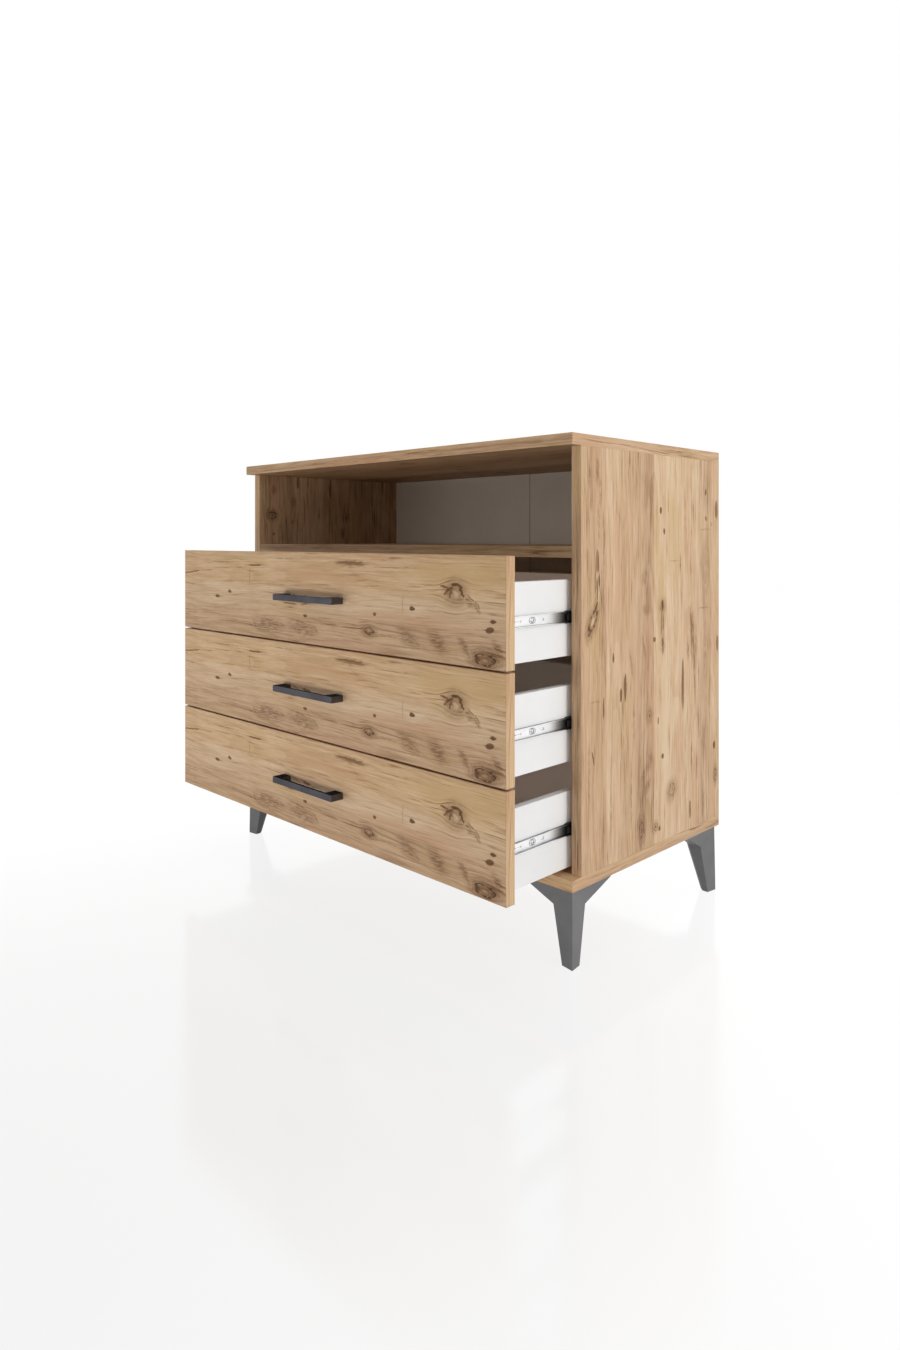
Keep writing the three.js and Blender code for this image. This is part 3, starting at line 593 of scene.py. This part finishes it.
def prism(outline, ends, toSpace):
    # A closed solid between two copies of an outline; toSpace turns (u, v, end) into a point
    shell = bmesh.new()
    first, last = [[shell.verts.new(toSpace(u, v, end)) for u, v in outline] for end in ends]
    for i in range(len(outline)):
        j = (i + 1) % len(outline)
        shell.faces.new((first[i], first[j], last[j], last[i]))
    shell.faces.new(first[::-1])
    shell.faces.new(last)
    bmesh.ops.recalc_face_normals(shell, faces=shell.faces[:])
    return shell


def addThing(name, data):
    thing = bpy.data.objects.new(name, data)
    bpy.context.scene.collection.objects.link(thing)
    return thing


def finishMesh(name, mesh, materialNames, body, replaced=None, sharpAngle=35):
    # Shaded smooth over its rounded edges and flat elsewhere
    for materialName in materialNames:
        mesh.materials.append(materials[materialName])
    mesh.shade_smooth()
    mesh.set_sharp_from_angle(angle=math.radians(sharpAngle))
    piece = addThing(name, mesh)
    piece.modifiers.new("weightedNormals", "WEIGHTED_NORMAL").keep_sharp = True
    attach(piece, body)
    if replaced:
        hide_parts(replaced)
    return piece


def largest(values):  # which of three values is the largest
    return max(range(3), key=lambda i: abs(values[i]))


def boardMesh(shells):
    # Shells are [(bmesh, rule)], where rule(normal) gives (material, axis along the grain, origin)
    vertices, faces, looks, places = [], [], [], []
    for shell, rule in shells:
        start = len(vertices)
        shell.verts.index_update()
        vertices += [v.co.copy() for v in shell.verts]
        for face in shell.faces:
            face.normal_update()
            look, along, origin = rule(face.normal)
            thick = largest(face.normal)
            if along == thick:
                along = (thick + 1) % 3
            across = 3 - along - thick
            faces.append([start + v.index for v in face.verts])
            looks.append(look)
            places.append([(v.co[along] - origin[along], v.co[across] - origin[across]) for v in face.verts])
        shell.free()
    mesh = bpy.data.meshes.new("board")
    mesh.from_pydata(vertices, [], faces)
    mapped = mesh.uv_layers.new(name="grain")
    for polygon, look, place in zip(mesh.polygons, looks, places):
        polygon.material_index = look
        for loop, uv in zip(polygon.loop_indices, place):
            mapped.data[loop].uv = uv
    mesh.update()
    return mesh


boardLook = {
    "band": 0.0008,  # thickness of an edge band
    "bandRound": 0.0004,
    "coreRound": 0.00012,
    # How far the decor is moved in metres, so that no two boards or bands look alike
    "coreShift": (1, 1.37, 1.74),
    "bandShift": 5,
    "axisShift": 3,
}
directions = {"-x": (0, -1), "+x": (0, 1), "-y": (1, -1), "+y": (1, 1), "-z": (2, -1), "+z": (2, 1)}


def boardPiece(name, low, high, grain, bands, faces, raw, body, slot, replaced, origin=None, shift=0.0):
    # A core with an edge band on each edge that shows, between two corners. Faces names the material of each
    # large face by direction, bands that of each banded edge, in the order in which the edges run through.
    # The decor is measured from origin, or else from a place of its own that shift moves
    low, high = list(low), list(high)
    thin = min(range(3), key=lambda i: high[i] - low[i])
    names = list(dict.fromkeys([*faces.values(), *bands.values(), raw]))
    grainAxis = "xyz".index(grain)
    ownOrigin = origin or [low[i] - shift * boardLook["coreShift"][i] for i in range(3)]
    shells = []
    for direction, band in bands.items():
        axis, side = directions[direction]
        bandLow, bandHigh = list(low), list(high)
        if side < 0:
            bandHigh[axis] = low[axis] = low[axis] + boardLook["band"]
        else:
            bandLow[axis] = high[axis] = high[axis] - boardLook["band"]
        away = boardLook["bandShift"] + shift + boardLook["axisShift"] * axis
        look = (names.index(band), 3 - axis - thin, [v - away for v in bandLow])
        shells.append((roundedBox(bandLow, bandHigh, boardLook["bandRound"]), lambda normal, look=look: look))

    def coreRule(normal):
        facing = largest(normal)
        side = "+" if normal[facing] > 0 else "-"
        look = faces[side + "xyz"[facing]] if facing == thin else raw
        return names.index(look), grainAxis, ownOrigin

    shells.append((roundedBox(low, high, boardLook["coreRound"], 1), coreRule))
    return finishMesh(name, boardMesh(shells), names, body, replaced)


topLow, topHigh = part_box("top_panel")
baseLow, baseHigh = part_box("bottom_panel")
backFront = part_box("back_panel_left")[0].y
chestLook = {
    "panel": 0.018,
    "setback": 0.022,  # of sides and shelf behind the top's front edge
    "niche": 0.154,
    "shelfGap": 0.0003,  # between the shelf and the back
    "panelShift": 2,  # of the decor on top and base
    "shelfShift": 6,
}
sideFront = topLow.y + chestLook["setback"]
innerX = topHigh.x - chestLook["panel"]  # inner face of the chest's sides
shelfTop = topLow.z - chestLook["niche"]

plain = {"+z": "pinePlain", "-z": "pinePlain"}
proudEdges = {"-y": "pineFrontEdge", "-x": "pineEdge", "+x": "pineEdge"}
for name, node, low, high, faces in (
    ("topPanel", "top_panel", topLow, topHigh, {"+z": "pinePlain", "-z": "pineCeiling"}),
    ("basePanel", "bottom_panel", baseLow, baseHigh, plain),
):
    boardPiece(name, low, high, "x", proudEdges, faces, "chipboard", "carcass", "wood_decor", node,
               shift=chestLook["panelShift"] + low.z)
boardPiece("nicheShelf", (-innerX, sideFront, shelfTop - chestLook["panel"]),
           (innerX, backFront - chestLook["shelfGap"], shelfTop), "x", {"-y": "pineShelfEdge"}, plain,
           "chipboard", "carcass", "wood_decor", "niche_shelf", shift=chestLook["shelfShift"])
for hand, side in hands.items():
    xs = sorted((side * innerX, side * topHigh.x))
    outer, inner = ("+x", "-x") if side > 0 else ("-x", "+x")
    faces = {outer: "pineSide", inner: "pineNiche" if side < 0 else "pinePlain"}
    # The sides' decor is measured up from the base's underside
    boardPiece(f"sidePanel_{hand}", (xs[0], sideFront, baseHigh.z), (xs[1], topHigh.y, topLow.z), "z",
               {"-y": "pineFrontEdge"}, faces, "chipboard", "carcass", "wood_decor", f"side_panel_{hand}",
               origin=(0, topLow.y, baseLow.z))
    boardPiece(f"backLeaf_{hand}", *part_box(f"back_panel_{hand}"), "z", {},
               {"-y": "backLacquer", "+y": "hardboard"}, "hardboard", "carcass", "back_board",
               f"back_panel_{hand}")


def dressNode(name, materialName):
    cadNodes[name].data.materials.clear()
    cadNodes[name].data.materials.append(materials[materialName])
    return cadNodes[name]


dressNode("back_panel_tape", "paperTape")
print("carcass boards made")

boxLook = {
    "half": 0.422,  # half the width of a drawer box
    "board": 0.012,
}
boxOuter, boxInner = boxLook["half"], boxLook["half"] - boxLook["board"]
white = {face: "whiteMelamine" for face in directions}
frontEdges = {"-z": "pineFrontEdge", "+z": "pineFrontEdge", "-x": "pineEdge", "+x": "pineEdge"}
for level in levels:
    body = f"drawer_{level}"
    low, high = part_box(f"{body}_front")
    boardPiece(f"drawerFront_{level}", low, high, "x", frontEdges, {"-y": "pineFront", "+y": "pinePlain"},
               "chipboard", body, "wood_decor", f"{body}_front", origin=(low.x, 0, low.z))
    for hand, side in hands.items():
        sideLow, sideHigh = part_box(f"{body}_side_{hand}")
        xs = sorted((side * boxInner, side * boxOuter))
        boardPiece(f"drawerSide_{level}_{hand}", (xs[0], high.y, sideLow.z), (xs[1], sideHigh.y, sideHigh.z),
                   "y", {"+z": "whiteMelamine", "+y": "whiteMelamine"}, white, "whiteMelamine", body,
                   "drawer_board", f"{body}_side_{hand}")
    backLow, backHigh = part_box(f"{body}_back")
    boardPiece(f"drawerBack_{level}", (-boxInner, backLow.y, backLow.z), (boxInner, backHigh.y, backHigh.z),
               "x", {"+z": "whiteMelamine"}, white, "whiteMelamine", body, "drawer_board", f"{body}_back")
    boardPiece(f"drawerFloor_{level}", *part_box(f"{body}_bottom"), "x", {},
               {"+z": "whiteMelamine", "-z": "backLacquer"}, "hardboard", body, "drawer_board",
               f"{body}_bottom")
print("drawer boards made")


def arcPath(points, radius, steps):
    # A path of (u, v) points with its inner corners rounded
    path = [Vector(points[0])]
    for before, corner, after in zip(points, points[1:], points[2:]):
        corner = Vector(corner)
        back = (Vector(before) - corner).normalized()
        on = (Vector(after) - corner).normalized()
        reach = radius / math.tan(back.angle(on) / 2)
        start, end = corner + back * reach, corner + on * reach
        for i in range(steps + 1):
            t = i / steps
            path.append(start.lerp(corner, t).lerp(corner.lerp(end, t), t))
    return path + [Vector(points[-1])]


def sheetOutline(path, thickness):
    # The closed outline of a sheet of even thickness whose middle follows the path
    left, right = [], []
    for i, point in enumerate(path):
        step = (path[min(i + 1, len(path) - 1)] - path[max(i - 1, 0)]).normalized()
        side = Vector((-step.y, step.x)) * thickness / 2
        left.append(point + side)
        right.append(point - side)
    return left + right[::-1]


def cutMesh(mesh, cutters):
    holder, *tools = [addThing("cutTool", data) for data in (mesh, *cutters)]
    for tool in tools:
        cut = holder.modifiers.new("cut", "BOOLEAN")
        cut.operation, cut.solver, cut.object = "DIFFERENCE", "EXACT", tool
    bpy.context.view_layer.update()
    result = bpy.data.meshes.new_from_object(holder.evaluated_get(bpy.context.evaluated_depsgraph_get()))
    for thing in (holder, *tools):
        bpy.data.objects.remove(thing)
    return result


screwLook = {
    "woodHead": (0.0074, 0.0019),  # diameter, height
    "machineHead": (0.0081, 0.0024),
    "segments": 24,
    "crossWidth": 0.0011,
    "crossReach": 0.0042,
    "crossDepth": 0.0012,
    "crossTurn": 22,  # degrees
    "crossRound": 0.0002,
    "foot": 0.0005,  # how far the head reaches into the screw's hole
}


def screwHeadMesh(diameter, height):
    # A pan head with a cross recess, turned about Z: its seat at the origin, its top along +Z
    r, foot, segments = diameter / 2, screwLook["foot"], screwLook["segments"]
    profile = [(0, -foot), (r * 0.55, -foot), (r * 0.55, 0), (r * 0.94, 0), (r, height * 0.16),
               (r * 0.97, height * 0.5), (r * 0.82, height * 0.82), (r * 0.5, height * 0.97), (0, height)]
    shell = bmesh.new()
    rings = []
    for radius, z in profile:
        turns = [2 * math.pi * i / segments for i in range(segments if radius else 1)]
        rings.append([shell.verts.new((radius * math.cos(a), radius * math.sin(a), z)) for a in turns])
    for lower, upper in zip(rings, rings[1:]):
        for i in range(segments):
            j = (i + 1) % segments
            corners = [ring[k % len(ring)] for ring, k in ((lower, i), (lower, j), (upper, j), (upper, i))]
            shell.faces.new(list(dict.fromkeys(corners)))
    bmesh.ops.recalc_face_normals(shell, faces=shell.faces[:])
    reach, half = min(screwLook["crossReach"] / 2, r * 0.62), screwLook["crossWidth"] / 2
    cutters = []
    for turn in (0, 90):
        bar = roundedBox((-reach, -half, height - screwLook["crossDepth"]), (reach, half, height + 0.001),
                         screwLook["crossRound"], 1)
        turning = Matrix.Rotation(math.radians(turn + screwLook["crossTurn"]), 3, "Z")
        bmesh.ops.rotate(bar, verts=bar.verts[:], matrix=turning)
        cutters.append(meshOf("crossCutter", bar))
    return cutMesh(meshOf("screwHead", shell), cutters)


def placeScrew(name, head, seat, direction, body):
    mesh = head.copy()
    turn = Vector((0, 0, 1)).rotation_difference(Vector(direction)).to_matrix().to_4x4()
    mesh.transform(Matrix.Translation(Vector(seat)) @ turn)
    mesh.materials.clear()
    return finishMesh(name, mesh, ["screwSteel"], body)


woodScrewHead = screwHeadMesh(*screwLook["woodHead"])
machineScrewHead = screwHeadMesh(*screwLook["machineHead"])

# Ball rails. A path is a profile's upper half as (distance from the chest's side, height above the middle)
railLook = {
    "sheet": 0.001,
    "bendSteps": 4,
    "bendRadius": 0.0012,
    "webFacing": 0.97,  # how straight and how large a face of the web is at least
    "webArea": 0.00001,
}
cabinetRailLook = {
    "path": [(0.0005, 0.013), (0.0091, 0.013), (0.0091, 0.011)],
    "setback": 0.006,  # of its front end behind the solid's
    "screws": (0.035, 0.28),
    "screwSeat": 0.001,
}
drawerRailLook = {
    "path": [(0.0095, 0.008), (0.0046, 0.008)],
    "screws": (0.0675, 0.295),
    "screwSeat": 0.009,
    "holes": [  # (behind the front end, width, length)
        (0.027, 0.0042, 0.0042), (0.041, 0.003, 0.003), (0.091, 0.0042, 0.008), (0.18, 0.0042, 0.008),
        (0.215, 0.003, 0.003),
    ],
    "holeReach": (0.007, 0.0106),
    "holeSteps": 24,
}
rimLook = {  # the raised long rim round each screw of a drawer rail
    "steps": 32,
    "straight": 0.005,  # how much longer than wide it is
    # (half width, distance from the chest's side)
    "profile": [(0.0038, 0.0092), (0.004, 0.0086), (0.0047, 0.0086), (0.0049, 0.0092)],
}
cageLook = {
    "path": [(0.0037, 0.0092), (0.0086, 0.0092)],
    "notchAcross": (0.0018, 0.0048),
    "notchAbove": (0.005, 0.008),
    "notchBack": 0.01,
    "notchRound": 0.0004,
    "balls": 12,
    "ballRadius": 0.0016,
    "ballAcross": 0.0066,
    "ballAbove": 0.0105,
    "ballEnds": (0.015, 0.006),  # from the cage's ends to the first and the last ball
}


def railMesh(name, path, ends, toSpace):
    whole = [(u, -v) for u, v in reversed(path)] + path
    rounded = arcPath(whole, railLook["bendRadius"], railLook["bendSteps"])
    return meshOf(name, prism(sheetOutline(rounded, railLook["sheet"]), ends, toSpace))


def markBends(mesh):
    # The web of a rail keeps the first material; its bends and lips get the second
    for polygon in mesh.polygons:
        web = abs(polygon.normal.x) > railLook["webFacing"] and polygon.area > railLook["webArea"]
        polygon.material_index = 0 if web else 1


def longRound(y, z, straight, radius, steps):
    # A circle that is pulled out along Y by a straight piece
    outline = []
    for i in range(steps):
        angle = 2 * math.pi * (i + 0.5) / steps
        end = math.copysign(straight / 2, math.cos(angle))
        outline.append((y + end + radius * math.cos(angle), z + radius * math.sin(angle)))
    return outline


def withRims(mesh, side, spots):
    shell = bmesh.new()
    shell.from_mesh(mesh)
    steps = rimLook["steps"]
    for y, z in spots:
        rings = []
        for width, u in rimLook["profile"]:
            outline = longRound(y, z, rimLook["straight"], width, steps)
            rings.append([shell.verts.new((side * (innerX - u), *point)) for point in outline])
        made = []
        for inner, outer in zip(rings, rings[1:] + rings[:1]):
            for i in range(steps):
                j = (i + 1) % steps
                made.append(shell.faces.new((inner[i], inner[j], outer[j], outer[i])))
        bmesh.ops.recalc_face_normals(shell, faces=made)
    return meshOf("drawerRail", shell)


for level in levels:
    for hand, side in hands.items():
        drawer, cages, spot = f"drawer_{level}", f"cages_{level}", f"{hand}_{level}"
        low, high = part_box(f"cabinet_rail_{spot}")
        z = (low.z + high.z) / 2

        def toSpace(u, v, y):
            return (side * (innerX - u), y, z + v)

        look = cabinetRailLook
        mesh = railMesh("cabinetRail", look["path"], (low.y + look["setback"], high.y), toSpace)
        markBends(mesh)
        finishMesh(f"cabinetRail_{spot}", mesh, ["zincSteel", "zincBend"], "carcass",
                   f"cabinet_rail_{spot}")
        for n, reach in enumerate(look["screws"], 1):
            placeScrew(f"cabinetRailScrew_{spot}_{n}", woodScrewHead,
                       toSpace(look["screwSeat"], 0, low.y + reach), (-side, 0, 0), "carcass")

        look = drawerRailLook
        low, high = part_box(f"{drawer}_rail_{hand}")
        mesh = railMesh("drawerRail", look["path"], (low.y, high.y), toSpace)
        cutters = []
        for reach, width, length in look["holes"]:
            outline = longRound(low.y + reach, z, length - width, width / 2, look["holeSteps"])
            hole = prism(outline, look["holeReach"], lambda y, z, u: (side * (innerX - u), y, z))
            cutters.append(meshOf("holeCutter", hole))
        mesh = withRims(cutMesh(mesh, cutters), side, [(low.y + reach, z) for reach in look["screws"]])
        markBends(mesh)
        finishMesh(f"drawerRail_{spot}", mesh, ["zincGreased", "zincBendGreased"], drawer,
                   f"{drawer}_rail_{hand}")
        for n, reach in enumerate(look["screws"], 1):
            placeScrew(f"drawerRailScrew_{spot}_{n}", woodScrewHead,
                       toSpace(look["screwSeat"], 0, low.y + reach), (side, 0, 0), drawer)

        look = cageLook
        low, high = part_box(f"ball_cage_{spot}")
        mesh = railMesh("ballCage", look["path"], (low.y, high.y), toSpace)
        notches = []
        for v in (-1, 1):
            xs = sorted(side * (innerX - u) for u in look["notchAcross"])
            zs = sorted(z + v * reach for reach in look["notchAbove"])
            notch = roundedBox((xs[0], low.y - 0.001, zs[0]), (xs[1], low.y + look["notchBack"], zs[1]),
                               look["notchRound"], 1)
            notches.append(meshOf("notch", notch))
        finishMesh(f"ballCage_{spot}", cutMesh(mesh, notches), ["cagePlastic"], cages,
                   f"ball_cage_{spot}")
        balls = bmesh.new()
        first, last = low.y + look["ballEnds"][0], high.y - look["ballEnds"][1]
        for i in range(look["balls"]):
            y = first + i * (last - first) / (look["balls"] - 1)
            for v in (-look["ballAbove"], look["ballAbove"]):
                place = Matrix.Translation(Vector(toSpace(look["ballAcross"], v, y)))
                bmesh.ops.create_icosphere(balls, subdivisions=2, radius=look["ballRadius"], matrix=place)
        finishMesh(f"railBalls_{spot}", meshOf("balls", balls), ["ballSteel"], cages)
print("ball rails made")

handleLook = {
    "bar": 0.0055,  # depth of the bar
    "post": 0.02,  # width of a post at the drawer front
    "taper": 0.003,  # how much wider it is at the bar
    "round": 0.0006,
}
for level in levels:
    drawer = f"drawer_{level}"
    low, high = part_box(f"{drawer}_handle")
    half, inner = (high.x - low.x) / 2, low.y + handleLook["bar"]
    postFoot = half - handleLook["post"]
    postHead = postFoot - handleLook["taper"]
    outline = [(-half, high.y), (-half, low.y), (half, low.y), (half, high.y), (postFoot, high.y),
               (postHead, inner), (-postHead, inner), (-postFoot, high.y)]
    shell = prism(outline, (low.z, high.z), lambda x, y, z: (x, y, z))
    bevelAll(shell, handleLook["round"], 3)
    finishMesh(f"handle_{level}", meshOf("handle", shell), ["handleMetal"], drawer,
               f"{drawer}_handle", sharpAngle=50)
    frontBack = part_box(f"{drawer}_front")[1].y
    for hand in hands:
        node = f"{drawer}_handle_screw_{hand}"
        screwLow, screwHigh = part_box(node)
        middle = (screwLow + screwHigh) / 2
        piece = placeScrew(f"handleScrew_{level}_{hand}", machineScrewHead, (middle.x, frontBack, middle.z),
                           (0, 1, 0), drawer)
        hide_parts(node)
print("handles made")

# Legs: the frame's own solids with rounded edges, and finer screw heads over theirs
legLook = {
    "round": 0.0007,
    "sharpAngle": 14,  # degrees; only sharper edges are rounded
    "corner": (0.0005, 0.002),  # from the chest's corner to the leg's, across and back
    "screws": [(0.076, 0.0125), (0.0125, 0.076), (0.0465, 0.0465)],  # from the leg's corner, across and back
    "flange": 0.004,
}
for end, endSign in (("front", 1), ("rear", -1)):
    for hand, side in hands.items():
        rounding = dressNode(f"leg_{end}_{hand}", "legPlastic").modifiers.new("rounding", "BEVEL")
        rounding.width, rounding.segments, rounding.limit_method = legLook["round"], 2, "ANGLE"
        rounding.angle_limit = math.radians(legLook["sharpAngle"])
        rounding.harden_normals = True
        cornerX = side * (topHigh.x - legLook["corner"][0])
        cornerY = (topLow.y if endSign > 0 else topHigh.y) + endSign * legLook["corner"][1]
        for n, (across, back) in enumerate(legLook["screws"], 1):
            seat = (cornerX - side * across, cornerY + endSign * back, baseLow.z - legLook["flange"])
            placeScrew(f"legScrew_{end}_{hand}_{n}", woodScrewHead, seat, (0, 0, -1), "carcass")
print("legs dressed")


def seenStraight():  # 1 for what the camera sees, also in a mirror or through glass, and 0 for light
    path = addNode("LightPath")
    mirrored = larger(path["Is Glossy Ray"], path["Is Transmission Ray"])
    return larger(path["Is Camera Ray"], mirrored)


# The floor is seen as white with soft shadows and a faint mirror near the chest, and throws back less light
floorLook = {
    "reach": 14.0,
    "bounce": (0.55, 0.55, 0.55, 1),
    "shadowed": (0.08, 0.08, 0.08, 1),
    "glow": (1, 0.997, 0.997, 1),
    # painted shade: the floor's glow is weakest round this point in front of the chest and grows away from it
    "glowCentre": (0.3, -1.0, 0.0),
    "glowRange": (0.1, 1.5, 0.84, 0.98),  # from and to this far, from and to this strong
    "mirror": 0.12,  # roughness
    "mirrorRange": (0.75, 1.2, 0.085, 0.0),
}
reach = floorLook["reach"]
floorMesh = bpy.data.meshes.new("floor")
floorMesh.from_pydata([(-reach, -reach, 0), (reach, -reach, 0), (reach, reach, 0), (-reach, reach, 0)], [],
                      [(0, 1, 2, 3)])
floor = addThing("floor", floorMesh)
newMaterial("floorWhite", "#f4f4f4")
nodes = making["tree"].nodes
nodes.remove(nodes["Principled BSDF"])
bounce, shadowed = [addNode("BsdfDiffuse", {"Color": floorLook[key]})[0] for key in ("bounce", "shadowed")]
fromCentre = vectorCalc("DISTANCE", objectPlace(), floorLook["glowCentre"])
strength = spread(fromCentre, *floorLook["glowRange"])
glow = addNode("Emission", {"Color": floorLook["glow"], "Strength": strength})[0]
lit = addNode("AddShader", {0: shadowed, 1: glow})[0]
mirror = addNode("BsdfGlossy", {"Color": (1, 1, 1, 1), "Roughness": floorLook["mirror"]})[0]
polish = spread(vectorCalc("LENGTH", objectPlace()), *floorLook["mirrorRange"])
polished = addNode("MixShader", {0: polish, 1: lit, 2: mirror})[0]
surface = addNode("MixShader", {0: seenStraight(), 1: bounce, 2: polished})[0]
feed(nodes["Material Output"].inputs["Surface"], surface)
floorMesh.materials.append(materials["floorWhite"])

worldLook = {"seen": 1.0, "light": 0.24}
world = bpy.data.worlds.new("studio")
bpy.context.scene.world = world
world.use_nodes = True
making["tree"] = world.node_tree
background = world.node_tree.nodes["Background"].inputs
feed(background["Color"], (1, 1, 1, 1))
feed(background["Strength"], between(seenStraight(), worldLook["light"], worldLook["seen"]))

lamps = {  # place, aim, size, power, colour
    "keyRight": ((3.5, 0.3, 2.2), (0, 0, 0.4), (1.8, 2), 25.5, (1, 1, 1)),
    "lowRight": ((3.2, -0.3, 1), (0, 0, 0.4), (1.2, 1.2), 27, (1, 1, 1)),
    "bounceCorner": ((1.7, -1.3, 0.15), (0.3, -0.25, 0.2), (0.6, 0.3), 3, (1, 1, 1)),
    "bounceFront": ((-0.45, -1.6, 0.12), (-0.3, -0.28, 0.25), (1.8, 0.3), 8.8, (1, 1, 1)),
    "niche": ((0.05, 0.06, 0.745), (0.05, 0.29, 0.69), (0.7, 0.05), 0.051, (0.94, 1, 1)),
    "top": ((0, 0.3, 3), (0, 0.3, 0), (2.4, 2.4), 40, (1, 1, 1)),
}
insideLook = {  # the light that the white boxes throw about inside themselves
    "right": 0.1,
    "front": 0.31,  # in front of the sides' rear ends
    "size": (0.6, 0.06),
    "colour": (1, 0.8, 0.7),
    "power": {"top": 0.001, "middle": 0.022, "bottom": 0.052},
}
for level in levels:
    low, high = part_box(f"drawer_{level}_side_right")
    x, z = insideLook["right"], (low.z + high.z) / 2
    lamps[f"inside_{level}"] = ((x, high.y - insideLook["front"], z), (x, high.y, z), insideLook["size"],
                                insideLook["power"][level], insideLook["colour"])
for name, (at, aim, size, power, colour) in lamps.items():
    data = bpy.data.lights.new(name, "AREA")
    data.shape, data.size, data.size_y = "RECTANGLE", *size
    data.energy = power
    data.color = colour
    thing = addThing(name, data)
    thing.location = at
    thing.rotation_euler = (Vector(aim) - Vector(at)).to_track_quat("-Z", "Y").to_euler()
    thing.visible_camera = False
    thing.visible_glossy = not name.startswith(("bounce", "inside", "niche"))

cameraLook = {
    "at": (1.251573, -1.202303, 0.652872),
    "yaw": 44.918,
    "lens": 23.411,
    "shift": -0.10064,
    "sensor": 36,
    "far": 100,
}
cameraData = bpy.data.cameras.new("camera")
cameraData.sensor_width = cameraLook["sensor"]
cameraData.lens = cameraLook["lens"]
cameraData.shift_y = cameraLook["shift"]
cameraData.clip_end = cameraLook["far"]
camera = addThing("camera", cameraData)
camera.location = cameraLook["at"]
camera.rotation_euler = (math.radians(90), 0, math.radians(cameraLook["yaw"]))
bpy.context.scene.camera = camera
bpy.context.scene.view_settings.view_transform = "Standard"
bpy.context.scene.cycles.diffuse_bounces = 10
print("stage set")
